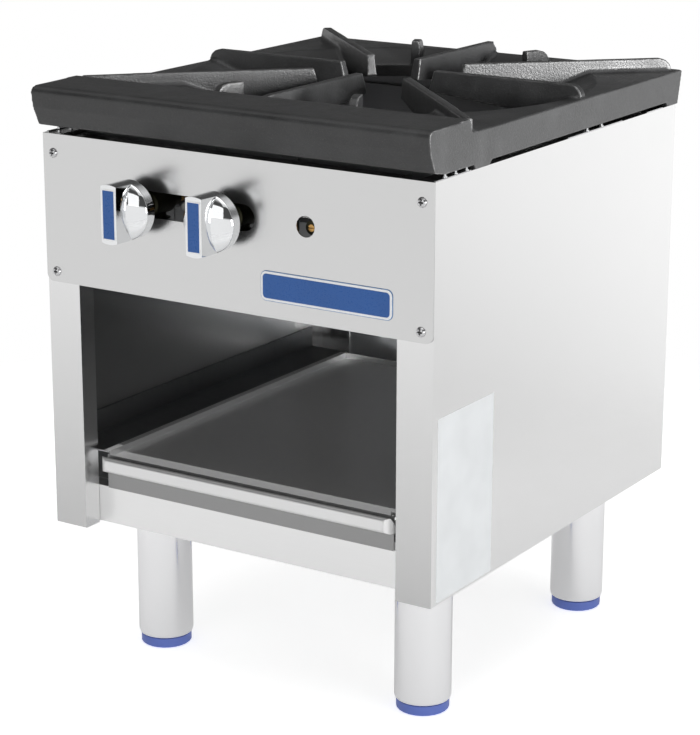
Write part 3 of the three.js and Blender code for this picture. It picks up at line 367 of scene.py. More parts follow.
@dataclass(frozen=True)
class BrushedSteel:
    """Sheet or tube with a brushed grain, wiped but not spotless, with painted shade and painted
    light on some areas.
    """

    name: str
    colour: Colour
    roughness: float
    grain: Grain
    relief: float = 0.000001
    clouding: float = 0.05
    metallic: float = 1.0
    # Strengths of painted shade inside the cabinet and toward the foot of the front, a painted lit
    # strip on the tray's brim, and a painted shadow under its lip
    inside_painted_shade: float = 0.0
    low_painted_shade: float = 0.0
    brim_painted_light: float = 0.0
    apron_painted_shadow: float = 0.0
    line_shades: Pair = (0.985, 1.01)
    cloud_shade: float = 0.9
    streak_rise: Pair = (-0.006, 0.008)

    def material(self) -> Material:
        """Builds the material.

        Returns:
            The material.
        """
        w = MaterialDraft(self.name, self.metallic)
        grain = w.effect(brush_grain_group(), Stretch=self.grain.value)
        marks = w.effect(handling_group())
        painted_shade_masks = w.effect(painted_shade_group())
        base = w.blend(grain["Lines"], *(shaded(self.colour, s) for s in self.line_shades))
        clouded = w.blend(w.times(marks["Clouds"], self.clouding * 2), base,
                          shaded(self.colour, self.cloud_shade))
        # Painted shade: black is mixed in inside the cabinet, toward the foot of the front and
        # under the tray's lip
        low = w.times(painted_shade_masks["Low"], self.low_painted_shade)
        inside_shade = w.times(painted_shade_masks["Inside"], self.inside_painted_shade)
        apron_shadow = w.times(painted_shade_masks["Apron"], self.apron_painted_shadow)
        painted_shade = w.calc("MAXIMUM", w.calc("MAXIMUM", low, inside_shade), apron_shadow)
        w.wire("Base Color", w.blend(painted_shade, clouded, BLACK))
        # Painted lit strip: the tray's floor behind its lip turns less metallic so that it shows
        # the lamp's light as a bright band
        if self.brim_painted_light:
            w.wire("Metallic", w.span(painted_shade_masks["Brim"], 0.0, 1.0, self.metallic,
                                      1 - self.brim_painted_light))
        rough = w.span(grain["Streaks"], 0.0, 1.0, *(self.roughness + s for s in self.streak_rise))
        w.wire("Roughness", w.calc("ADD", rough, w.times(marks["Smudges"], self.clouding)))
        w.bump(grain["Lines"], self.relief)
        return w.material


@dataclass(frozen=True)
class CastIron:
    """Sand-cast iron under thin black enamel or bare, duller in the pits, lighter on the edges:
    partly wear, partly a painted edge highlight.
    """

    name: str
    colour: Colour
    wear_and_highlight_colour: Colour
    roughness: float
    pebble: float
    relief: float = 0.00025
    sheen: float = 0.5
    blotch_shade: float = 1.9
    blotch_rise: Pair = (-0.07, 0.09)
    pit_shade: float = 0.5
    pit_share: float = 0.4
    sand_scale: float = 1100.0
    sand_share: float = 0.16
    wear_and_highlight_share: float = 0.7

    def material(self) -> Material:
        """Builds the material.

        Returns:
            The material.
        """
        w = MaterialDraft(self.name)
        w.wire("Specular IOR Level", self.sheen)
        skin = w.effect(cast_skin_group(), Pebble=self.pebble)
        edge_wear_and_highlight = w.effect(edge_wear_and_highlight_group())
        blotched = w.blend(skin["Blotches"], self.colour, shaded(self.colour, self.blotch_shade))
        pitted = w.blend(w.times(skin["Pits"], self.pit_share), blotched,
                         shaded(self.colour, self.pit_shade))
        sand = w.noise(w.coordinates, self.sand_scale, 2.0, 0.7)
        sanded = w.blend(w.span(sand, 0.56, 0.7, 0.0, self.sand_share), pitted, self.wear_and_highlight_colour)
        # Lighter outer edges: partly wear, partly a painted highlight on the edges
        w.wire("Base Color", w.blend(w.times(edge_wear_and_highlight["Wear"], self.wear_and_highlight_share), sanded, self.wear_and_highlight_colour))
        w.wire("Roughness", w.span(skin["Blotches"], 0.0, 1.0,
                                   *(self.roughness + s for s in self.blotch_rise)))
        w.bump(skin["Height"], self.relief, 0.8)
        return w.material


@dataclass(frozen=True)
class BrightMetal:
    """Plated, turned or polished metal with faint marks."""

    name: str
    colour: Colour
    roughness: float
    tarnish: Colour
    tarnish_share: float
    mark_size: float = 40.0
    smudge_share: float = 0.6
    relief: float = 0.000005

    def material(self) -> Material:
        """Builds the material.

        Returns:
            The material.
        """
        w = MaterialDraft(self.name, metallic=1.0)
        marks = w.effect(handling_group(), Size=self.mark_size)
        stain = w.times(marks["Clouds"], self.tarnish_share)
        w.wire("Base Color", w.blend(stain, self.colour, self.tarnish))
        w.wire("Roughness", w.calc("ADD", self.roughness,
                                   w.times(marks["Smudges"],
                                           self.roughness * self.smudge_share)))
        w.bump(marks["Smudges"], self.relief)
        return w.material


@dataclass(frozen=True)
class Coloured:
    """Moulded plastic, printed foil or paper: one colour with soft variation and fine texture."""

    name: str
    colour: Colour
    roughness: float
    texture: float = 900.0
    relief: float = 0.00002
    coat: float = 0.0
    mark_size: float = 30.0
    cloud_shade: float = 0.88
    rough_spread: float = 0.05

    def material(self) -> Material:
        """Builds the material.

        Returns:
            The material.
        """
        w = MaterialDraft(self.name, coat=self.coat)
        marks = w.effect(handling_group(), Size=self.mark_size)
        w.wire("Base Color", w.blend(w.times(marks["Clouds"], 0.5), self.colour,
                                     shaded(self.colour, self.cloud_shade)))
        fine = w.noise(w.coordinates, self.texture, 2.0, 0.55)
        w.wire("Roughness", w.span(fine, 0.3, 0.7, self.roughness - self.rough_spread,
                                   self.roughness + self.rough_spread))
        w.bump(fine, self.relief)
        return w.material


class Finish(Enum):
    """Every finish on the range."""

    # The last arguments of the panel, side, tray and zinc finishes set painted shade inside the
    # cabinet and toward the foot of the front, a painted lit strip behind the tray's lip and a
    # painted shadow under it
    PANEL_STEEL = BrushedSteel("panel_steel", grey(0.69), 0.24, Grain.ALONG_X,
                               clouding=0.02, inside_painted_shade=0.8)
    SIDE_STEEL = BrushedSteel("side_steel", grey(0.80), 0.24, Grain.ALONG_Z,
                              clouding=0.02, inside_painted_shade=0.45, low_painted_shade=0.28)
    RAIL_STEEL = BrushedSteel("rail_steel", grey(0.85), 0.28, Grain.ALONG_X,
                              relief=0.0, clouding=0.02)
    TRAY_STEEL = BrushedSteel("tray_steel", grey(0.70), 0.30, Grain.ALONG_X,
                              relief=0.0, clouding=0.02, metallic=0.86, brim_painted_light=0.9,
                              apron_painted_shadow=0.6)
    LEG_STEEL = BrushedSteel("leg_steel", (0.94, 0.94, 0.95), 0.17, Grain.ALONG_Z)
    SHIELD_STEEL = BrushedSteel("shield_steel", (0.34, 0.34, 0.35), 0.36, Grain.ALONG_X)
    ZINC_SHEET = BrushedSteel("zinc_sheet", (0.55, 0.56, 0.57), 0.42, Grain.ALONG_Y,
                              clouding=0.2, inside_painted_shade=0.5)
    # The lighter edge colour of the cast iron finishes is partly wear, partly a painted edge
    # highlight
    TOP_IRON = CastIron("top_iron", (0.0135, 0.0137, 0.014), grey(0.20), 0.42,
                        pebble=520.0, relief=0.0004, sheen=0.55)
    BURNER_IRON = CastIron("burner_iron", (0.030, 0.030, 0.031), (0.12, 0.115, 0.11), 0.62,
                           pebble=500.0)
    CHROME = BrightMetal("chrome", (0.86, 0.87, 0.88), 0.05, grey(0.6), 0.15)
    SCREW_STEEL = BrightMetal("screw_steel", (0.62, 0.62, 0.63), 0.22, grey(0.3), 0.3)
    BRASS = BrightMetal("brass", (0.72, 0.42, 0.14), 0.28, (0.20, 0.13, 0.06), 0.8)
    # Valve brass darkened almost to black: painted shade for the dark space behind the panel, over
    # a tarnish pattern
    BRASS_IN_PAINTED_SHADE = BrightMetal("brass_in_painted_shade", (0.06, 0.057, 0.036), 0.42, (0.03, 0.03, 0.02), 0.9)
    PLUG_ZINC = Coloured("plug_zinc", (0.42, 0.42, 0.40), 0.35)
    PIPE_PAINT = Coloured("pipe_paint", (0.02, 0.02, 0.021), 0.42, relief=0.00006)
    FOOT_BLUE = Coloured("foot_blue", (0.13, 0.20, 0.62), 0.42, coat=0.1)
    PLATE_BLUE = Coloured("plate_blue", (0.008, 0.095, 0.36), 0.3, coat=0.1)
    PLATE_RIM = Coloured("plate_rim", (0.10, 0.22, 0.45), 0.3, coat=0.15)
    PLATE_EDGE = Coloured("plate_edge", (0.95, 0.96, 0.97), 0.32, coat=0.2)
    PAPER = Coloured("label_paper", (0.92, 0.945, 0.96), 0.5, texture=1500.0)
    KNOB_BLACK = Coloured("knob_black", (0.012, 0.012, 0.013), 0.45)
    # Near-black finish for flat pieces that stand in for holes and recesses: painted shade
    PAINTED_HOLE_SHADE = Coloured("painted_hole_shade", grey(0.006), 0.8)

    @functools.cached_property
    def material(self) -> Material:
        """The finish's material, built on first use."""
        return self.value.material()


# Mesh tools


@functools.cache
def smooth_by_angle_group() -> NodeTree:
    """Geometry nodes that shade faces smooth but keep edges sharper than an angle.

    Returns:
        The node group, for use in a modifier.
    """
    group = bpy.data.node_groups.new("smooth_by_angle", "GeometryNodeTree")
    for direction in ("INPUT", "OUTPUT"):
        group.interface.new_socket(name="Geometry", in_out=direction,
                                   socket_type="NodeSocketGeometry")
    w = Wiring(group)
    whole = w.add("GeometryNodeSetShadeSmooth", {
        "Geometry": w.add("NodeGroupInput").outputs[0], "Shade Smooth": True}, domain="FACE")
    angle = w.add("GeometryNodeInputMeshEdgeAngle").outputs["Unsigned Angle"]
    over = w.add("FunctionNodeCompare", {0: angle, 1: SHARP_FROM}, data_type="FLOAT",
                 operation="GREATER_THAN")
    sharp = w.add("GeometryNodeSetShadeSmooth", {
        "Geometry": whole.outputs["Geometry"], "Selection": over.outputs["Result"],
        "Shade Smooth": False}, domain="EDGE")
    w.add("NodeGroupOutput", {0: sharp.outputs["Geometry"]})
    return group


def modified(obj: Object, kind: str, **settings: object) -> None:
    """Adds a modifier to an object.

    Args:
        obj: The object.
        kind: Blender's type name of the modifier.
        **settings: Attributes of the modifier.
    """
    modifier = obj.modifiers.new(kind.lower(), kind)
    for key, value in settings.items():
        setattr(modifier, key, value)


def soften(obj: Object, width: float) -> None:
    """Rounds the edges of an object and shades its curved faces smooth.

    Args:
        obj: The object.
        width: Width of the rounding in metres, or 0 for none.
    """
    modified(obj, "WELD", merge_threshold=WELD_DISTANCE)
    if width > 0:
        modified(obj, "BEVEL", width=width, segments=2, limit_method="ANGLE",
                 angle_limit=ROUNDED_FROM, use_clamp_overlap=True, harden_normals=False)
    modified(obj, "NODES", node_group=smooth_by_angle_group())
    modified(obj, "WEIGHTED_NORMAL", keep_sharp=True, weight=100)


def placed(name: str, data: ID) -> Object:
    """Puts a mesh, lamp or camera into the scene.

    Args:
        name: Name of its object.
        data: The mesh, lamp or camera.

    Returns:
        The new object.
    """
    obj = bpy.data.objects.new(name, data)
    bpy.context.scene.collection.objects.link(obj)
    return obj


def paint(mesh: Mesh, material: Material) -> None:
    """Gives a mesh one material in place of those it has."""
    mesh.materials.clear()
    mesh.materials.append(material)


def add_piece(name: str, mesh: Mesh, finish: Finish, rounding: float = 0.0,
              body: str = "cabinet") -> Object:
    """Puts a finished mesh into the scene as a piece of the range.

    Args:
        name: Name of the piece.
        mesh: Its mesh, in the model's frame.
        finish: What it is made of.
        rounding: Width of its rounded edges in metres.
        body: Body that it moves with.

    Returns:
        The new object.
    """
    obj = placed(name, mesh)
    paint(mesh, finish.material)
    soften(obj, rounding)
    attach(obj, body)
    LOG.info("piece %s: %d faces", name, len(mesh.polygons))
    return obj


def finished_mesh(name: str, bm: bmesh.types.BMesh) -> Mesh:
    """Turns a bmesh into a mesh and frees it.

    Args:
        name: Name of the mesh.
        bm: The bmesh, which is used up.

    Returns:
        The mesh.
    """
    mesh = bpy.data.meshes.new(name)
    bm.to_mesh(mesh)
    bm.free()
    return mesh


def mesh_from(name: str, points: Sequence[Point], faces: Sequence[Sequence[int]],
              dissolve: bool = False) -> Mesh:
    """Makes a mesh with outward faces.

    Args:
        name: Name of the mesh.
        points: Its corners.
        faces: Corner numbers of each face.
        dissolve: Whether edges and faces without size go.

    Returns:
        The mesh.
    """
    bm = bmesh.new()
    corners = [bm.verts.new(p) for p in points]
    for face in faces:
        bm.faces.new([corners[i] for i in face])
    bmesh.ops.remove_doubles(bm, verts=bm.verts, dist=MERGE_DISTANCE)
    if dissolve:
        bmesh.ops.dissolve_degenerate(bm, edges=bm.edges, dist=MERGE_DISTANCE)
    bmesh.ops.recalc_face_normals(bm, faces=bm.faces)
    return finished_mesh(name, bm)


def merged(name: str, meshes: Iterable[Mesh]) -> Mesh:
    """Puts several meshes into one.

    Args:
        name: Name of the result.
        meshes: The meshes, which are used up.

    Returns:
        The joined mesh.
    """
    bm = bmesh.new()
    for part in meshes:
        bm.from_mesh(part)
        bpy.data.meshes.remove(part)
    return finished_mesh(name, bm)


def turned(profile: Profile, centre: Vector, axis: Vector,
           segments: int = 64) -> Mesh:
    """Revolves a profile of (radius, height) points.

    Args:
        profile: Points from one end of the axis to the other, closed on itself or on the axis.
        centre: Where the axis has height 0.
        axis: Direction of growing height.
        segments: Steps round the axis.

    Returns:
        The turned mesh.
    """
    turn = axis.normalized().to_track_quat("Z", "Y").to_matrix()
    points: list[Point] = []
    faces: list[list[int]] = []
    count = len(profile)
    for k in range(segments):
        angle = 2 * math.pi * k / segments
        for radius, height in profile:
            flat = Vector((radius * math.cos(angle), radius * math.sin(angle), height))
            points.append(tuple(centre + turn @ flat))
        for i in range(count - 1):
            a = k * count + i
            b = ((k + 1) % segments) * count + i
            faces.append([a, b, b + 1, a + 1])
    return mesh_from("turned", points, faces, dissolve=True)


def relief_disc(radius: float, back: float, height: Callable[[float, float], float],
                across: Sequence[float], rows: int, centre: Vector) -> Mesh:
    """Closed disc that faces -Y, whose front stands out by a height over its plane.

    Args:
        radius: Radius of the disc.
        back: Depth of its flat back behind the plane.
        height: Height of the front at (x, z) from the centre.
        across: Stations from -1 to 1 across the disc, as shares of the radius.
        rows: Steps along each column.
        centre: Centre of the plane.

    Returns:
        The mesh.
    """
    points: list[Point] = []
    columns: list[list[int]] = []
    for share in across:
        x = share * radius
        reach = math.sqrt(max(radius * radius - x * x, 1e-10))
        column = []
        for r in range(rows + 1):
            z = -reach * math.cos(math.pi * r / rows)
            column.append(len(points))
            points.append(tuple(centre + Vector((x, -height(x, z), z))))
        columns.append(column)
    faces = [
        [left[r], right[r], right[r + 1], left[r + 1]]
        for left, right in zip(columns, columns[1:]) for r in range(rows)
    ]
    rim = columns[0] + [c[-1] for c in columns[1:-1]] + columns[-1][::-1]
    rim += [c[0] for c in columns[-2:0:-1]]
    start = len(points)
    for i in rim:
        x, _, z = points[i]
        points.append((x, centre.y + back, z))
    count = len(rim)
    faces += [[rim[i], rim[(i + 1) % count], start + (i + 1) % count, start + i]
              for i in range(count)]
    faces.append([start + i for i in range(count)])
    return mesh_from("relief_disc", points, faces)


def rounded_sheet(x_axis: Vector, y_axis: Vector, centre: Vector, size: Pair,
                  corner: float, thickness: float) -> Mesh:
    """Thin plate with rounded corners, standing out of a face along the third direction.

    Args:
        x_axis: Direction of its width.
        y_axis: Direction of its height.
        centre: Centre of its back.
        size: Its width and height.
        corner: Radius of its corners.
        thickness: How far it stands out.

    Returns:
        The mesh.
    """
    out = x_axis.cross(y_axis).normalized()
    half_w, half_h = size[0] / 2 - corner, size[1] / 2 - corner
    outline = []
    for quarter, (sx, sy) in enumerate(((1, 1), (-1, 1), (-1, -1), (1, -1))):
        for step in range(7):
            angle = math.pi / 2 * (quarter + step / 6)
            outline.append((sx * half_w + corner * math.cos(angle),
                            sy * half_h + corner * math.sin(angle)))
    rings = [(0.0, 0.0), (thickness * 0.6, 0.0), (thickness, thickness * 0.4)]
    points = [
        tuple(centre + x_axis * (x - math.copysign(inset, x))
              + y_axis * (y - math.copysign(inset, y)) + out * height)
        for height, inset in rings for x, y in outline
    ]
    count = len(outline)
    faces = [[r * count + i, r * count + (i + 1) % count, (r + 1) * count + (i + 1) % count,
              (r + 1) * count + i] for r in range(2) for i in range(count)]
    faces.append(list(range(count)))
    faces.append(list(range(2 * count, 3 * count)))
    return mesh_from("rounded_sheet", points, faces)


def dress(finish: Finish, rounding: float, *nodes: str) -> None:
    """Gives CAD nodes their finish, rounded edges and smooth curves.

    Args:
        finish: What they are made of.
        rounding: Width of their rounded edges in metres.
        *nodes: Names of the nodes.
    """
    for node in nodes:
        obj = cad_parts[node]
        paint(obj.data, finish.material)
        soften(obj, rounding)


def middle(node: str) -> Vector:
    """Returns the middle of a CAD node's box."""
    low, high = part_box(node)
    return (low + high) / 2


# Sub-assemblies


@dataclass
class Cabinet:
    """Sides, back, rails and what carries the legs."""

    fold: float = 0.5 * MM
    zinc_fold: float = 0.3 * MM
    trim_inset: float = 0.4 * MM
    # Chrome strips that stand in for the highlight on the cabinet's top fold: a painted highlight
    highlight_strip_size: Pair = (3.2 * MM, 0.9 * MM)
    highlight_strips: tuple[Pair, ...] = (
        (3 * MM, 66 * MM), (258 * MM, 378 * MM), (436 * MM, 474 * MM))
    stud_radius: float = 2.2 * MM
    studs: tuple[float, ...] = (21 * MM, 40 * MM, 60 * MM, 302 * MM, 334 * MM)
    screw_inset: float = 14 * MM

    def build(self) -> None:
        """Dresses the sheet metal and adds the screws at the back."""
        dress(Finish.SIDE_STEEL, self.fold, "cabinet_side_left", "cabinet_side_right")
        dress(Finish.RAIL_STEEL, self.fold, "bottom_rail_front")
        dress(Finish.ZINC_SHEET, self.zinc_fold, "cabinet_back", "top_rail_front",
              "top_rail_rear", "leg_channel_left", "leg_channel_right", "tray_runner_left",
              "tray_runner_right", "burner_bar_front", "burner_bar_rear", "manifold_strap_left",
              "manifold_strap_right", "pilot_bracket")
        self.back_screws()
        self.seat_trim()

    def seat_trim(self) -> None:
        """Adds chrome strips on the side flanges as a painted highlight for the fold of the
        cabinet's top edge, and the studs, in the gap under the grate.
        """
        low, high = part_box("cabinet_side_right")
        edge, seat = high.x - self.trim_inset, high.z
        width, thickness = self.highlight_strip_size
        stud = in_mm((0.0, 0.0), (2.3, 0.0), (2.3, 1.2), (1.3, 1.9), (1.3, 2.6), (2.2, 3.2),
                     (1.6, 4.0), (0.0, 4.2))
        for name, side in (("left", -1), ("right", 1)):
            parts = []
            # Painted highlight: chrome strips along the fold of the top edge
            for start, end in self.highlight_strips:
                centre = Vector((side * (edge - width / 2), low.y + (start + end) / 2, seat))
                parts.append(rounded_sheet(RIGHT, BACK, centre, (width, end - start), 0.8 * MM,
                                           thickness))
            for place in self.studs:
                centre = Vector((side * (edge - self.stud_radius), low.y + place,
                                 seat + 0.8 * MM))
                parts.append(turned(stud, centre, UP, 20))
            add_piece(f"seat_trim_{name}", merged("seat_trim", parts), Finish.CHROME)

    def back_screws(self) -> None:
        """Adds hex screws round the edge of the back panel."""
        low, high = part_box("cabinet_back")
        inset = self.screw_inset
        washer = in_mm((0.0, 0.0), (5.6, 0.0), (5.6, 0.7), (3.9, 1.0), (0.0, 1.0))
        hexagon = in_mm((0.0, 0.9), (3.9, 0.9), (3.9, 3.6), (3.4, 4.2), (0.0, 4.2))
        heads = []
        for x in (low.x + inset, high.x - inset):
            for z in (low.z + inset, (low.z + high.z) / 2, high.z - inset):
                seat = Vector((x, high.y, z))
                heads += [turned(washer, seat, BACK, 24), turned(hexagon, seat, BACK, 6)]
        add_piece("back_screws", merged("back_screws", heads), Finish.SCREW_STEEL, 0.15 * MM)


@dataclass
class Controls:
    """Front panel with its screws and bare plates, the knobs and the valves behind."""

    # Panel screws
    screw_radius: float = 5.0 * MM
    screw_height: float = 2.8 * MM
    recess: float = 0.95 * MM
    recess_reach: float = 2.7 * MM
    recess_depth: float = 1.5 * MM
    recess_slope: float = 2.5
    cross_size: Pair = (1.3 * MM, 4.8 * MM)
    cross_below: float = 1.3 * MM
    # Knobs
    grip_half: float = 9.3 * MM
    grip_slope: float = 1.2 * MM
    crown: float = 0.5 * MM
    rim_depth: float = 24 * MM
    skirt: float = 6 * MM
    grip_step: float = 1.0 * MM
    seam: float = 0.0001
    dome: float = 12.5 * MM
    # Bare plates
    badge_size: Pair = (149 * MM, 30 * MM)
    badge_centre: Pair = (111 * MM, 445 * MM)
    badge_step: float = 0.5 * MM
    sticker_size: Pair = (15.5 * MM, 50 * MM)
    label_span: Pair = (10 * MM, 115 * MM)
    label_heights: Pair = (155 * MM, 339 * MM)

    def build(self) -> None:
        """Dresses the panel and builds what is on it."""
        dress(Finish.PANEL_STEEL, 0.4 * MM, "front_control_panel")
        for corner in ("top_left", "top_right", "bottom_left", "bottom_right"):
            self.panel_screw(f"panel_screw_{corner}")
        for side in ("left", "right"):
            self.knob(side)
            self.packing_nut(side)
        dress(Finish.SCREW_STEEL, 0.0, "valve_stem_left", "valve_stem_right", "pilot_tube")
        dress(Finish.SCREW_STEEL, 0.3 * MM, "pilot_burner")
        # The valves behind the panel get brass darkened by painted shade
        dress(Finish.BRASS_IN_PAINTED_SHADE, 0.3 * MM, "gas_valve_left", "gas_valve_right", "pilot_valve")
        dress(Finish.BRASS, 0.3 * MM, "orifice_hood_left", "orifice_hood_right")
        dress(Finish.BRASS, 0.15 * MM, "pilot_adjuster")
        dress(Finish.PLUG_ZINC, 0.2 * MM, "tap_plug")
        dress(Finish.PIPE_PAINT, 0.4 * MM, "gas_manifold")
        self.badge()
        self.side_label()

    def panel_screw(self, node: str) -> None:
        """Builds a pan-head screw with a cross recess in place of a CAD screw, with a flat dark
        cross in the recess as painted shade.

        Args:
            node: Name of the CAD screw.
        """
        low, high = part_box(node)
        centre = middle(node)
        centre.y = low.y + self.screw_height

        def height(x: float, z: float) -> float:
            """Shapes the head: a low dome less the cross.

            Args:
                x: Place across, from the centre.
                z: Place upward, from the centre.

            Returns:
                Height of the head there.
            """
            r = min(math.hypot(x, z) / self.screw_radius, 1.0)
            full = self.screw_height * (1 - r ** 3.2) ** 0.7
            arm, reach = sorted((abs(x), abs(z)))
            inside = (max(0.0, 1 - arm / self.recess)
                      * max(0.0, 1 - (reach / self.recess_reach) ** 4))
            return full - self.recess_depth * min(1.0, inside * self.recess_slope)

        across = [math.sin(math.pi * i / 48 - math.pi / 2) * NEAR_RIM for i in range(49)]
        mesh = relief_disc(self.screw_radius, high.y - centre.y, height, across, 48, centre)
        piece = add_piece(f"{node}_head", mesh, Finish.SCREW_STEEL)
        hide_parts(node)
        # A flat dark cross at the bottom of the recess: painted shade for its depth
        floor = centre - BACK * self.cross_below
        cross_shade_arms = [rounded_sheet(RIGHT, UP, floor, size, 0.3 * MM, 0.25 * MM)
                for size in (self.cross_size, self.cross_size[::-1])]
        add_piece(f"{node}_cross", merged("cross", cross_shade_arms), Finish.PAINTED_HOLE_SHADE)

    def knob(self, side: str) -> None:
        """Builds a plated bar-grip knob in place of the CAD knob.

        Args:
            side: left or right.
        """
        node, body = f"knob_{side}", f"knob_{side}_body"
        low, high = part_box(node)
        radius = (high.x - low.x) / 2
        centre = middle(node)
        centre.y = rim = low.y + self.rim_depth

        def height(x: float, z: float) -> float:
            """Shapes the front: the grip, and the dome beside it.

            Args:
                x: Place across, from the centre.
                z: Place upward, from the centre.

            Returns:
                Height of the front there.
            """
            r = min(math.hypot(x, z) / radius, 1.0)
            dome = self.dome * (1 - r * r) ** 0.75
            over = (abs(x) - self.grip_half) / self.grip_slope
            if over <= 0:
                return self.rim_depth - self.crown * (z / radius) ** 2
            blend = min(over, 1.0)
            return (self.rim_depth - self.grip_step) * (1 - blend) + dome * blend

        half = self.grip_half / radius
        wall = (self.grip_half + self.grip_slope) / radius
        side_steps = [wall + (NEAR_RIM - wall) * math.sin(math.pi / 2 * i / 14)
                      for i in range(15)]
        grip_steps = [half * (i / 5 - 1) for i in range(11)]
        across = [*(-step for step in reversed(side_steps)), -half - self.seam, *grip_steps,
                  half + self.seam, *side_steps]
        shell = relief_disc(radius, high.y - rim - self.skirt, height, across, 44, centre)
        hub = turned(in_mm((0.0, 0.0), (12.0, 0.0), (12.0, 7.0), (4.4, 7.0), (4.4, 1.0),
                           (0.0, 1.0)),
                     centre + BACK * (high.y - rim - 6.5 * MM), BACK, 40)
        piece = add_piece(f"knob_{side}_shell", merged(f"knob_{side}_shell", [shell, hub]),
                          Finish.CHROME, 0.5 * MM, body)
        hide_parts(node)
        self.grip_sticker(side, Vector((centre.x, low.y + 0.25 * MM, centre.z)))
        outer = radius / MM
        ring = in_mm((4.3, 0.0), (outer - 2.2, 0.0), (outer - 3.0, 1.2), (4.3, 1.2), (4.3, 0.0))
        back = turned(ring, Vector((centre.x, high.y - 6.1 * MM, centre.z)), BACK, 48)
        add_piece(f"knob_back_{side}", back, Finish.KNOB_BLACK, 0.3 * MM, body)

    def grip_sticker(self, side: str, centre: Vector) -> None:
        """Adds the bare two-tone sticker on a knob's grip.

        Args:
            side: left or right.
            centre: Middle of the grip's face.
        """
        body = f"knob_{side}_body"
        width, height = self.sticker_size
        border = rounded_sheet(RIGHT, UP, centre, (width, height), 1 * MM, 0.30 * MM)
        add_piece(f"grip_sticker_{side}", border, Finish.PLATE_EDGE, 0.0, body)
        field = rounded_sheet(RIGHT, UP, centre - BACK * (0.2 * MM),
                              (width - 2 * MM, height - 2.2 * MM), 0.5 * MM, 0.2 * MM)
        add_piece(f"grip_sticker_field_{side}", field, Finish.PLATE_BLUE, 0.0, body)

    def packing_nut(self, side: str) -> None:
        """Adds the hexagon nut round a valve's stem.

        Args:
            side: left or right.
        """
        low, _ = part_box(f"gas_valve_{side}")
        stem = middle(f"valve_stem_{side}")
        profile = in_mm((4.6, 0.0), (9.2, 0.0), (10.4, 1.0), (10.4, 6.0), (4.6, 6.0), (4.6, 0.0))
        nut = turned(profile, Vector((stem.x, low.y - 6 * MM, stem.z)), BACK, 6)
        add_piece(f"packing_nut_{side}", nut, Finish.BRASS, 0.3 * MM)

    def badge(self) -> None:
        """Adds the bare badge plate: a blue edge, a pale border and a blue field."""
        low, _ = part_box("front_control_panel")
        x, z = self.badge_centre
        width, height = self.badge_size
        layers = (("edge", 0.0, 6.5 * MM, Finish.PLATE_RIM),
                  ("border", 1.4 * MM, 5.8 * MM, Finish.PLATE_EDGE),
                  ("field", 6.0 * MM, 4.0 * MM, Finish.PLATE_BLUE))
        for number, (name, inset, corner, finish) in enumerate(layers):
            centre = Vector((x, low.y - number * self.badge_step, z))
            plate = rounded_sheet(RIGHT, UP, centre, (width - inset, height - inset), corner,
                                  0.6 * MM)
            add_piece(f"badge_{name}", plate, finish)

    def side_label(self) -> None:
        """Adds the bare paper label low on the right side."""
        low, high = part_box("cabinet_side_right")
        (front, back), (bottom, top_edge) = self.label_span, self.label_heights
        centre = Vector((high.x, low.y + (front + back) / 2, (bottom + top_edge) / 2))
        sheet = rounded_sheet(BACK, UP, centre, (back - front, top_edge - bottom), 1 * MM,
                              0.15 * MM)
        add_piece("side_label", sheet, Finish.PAPER)


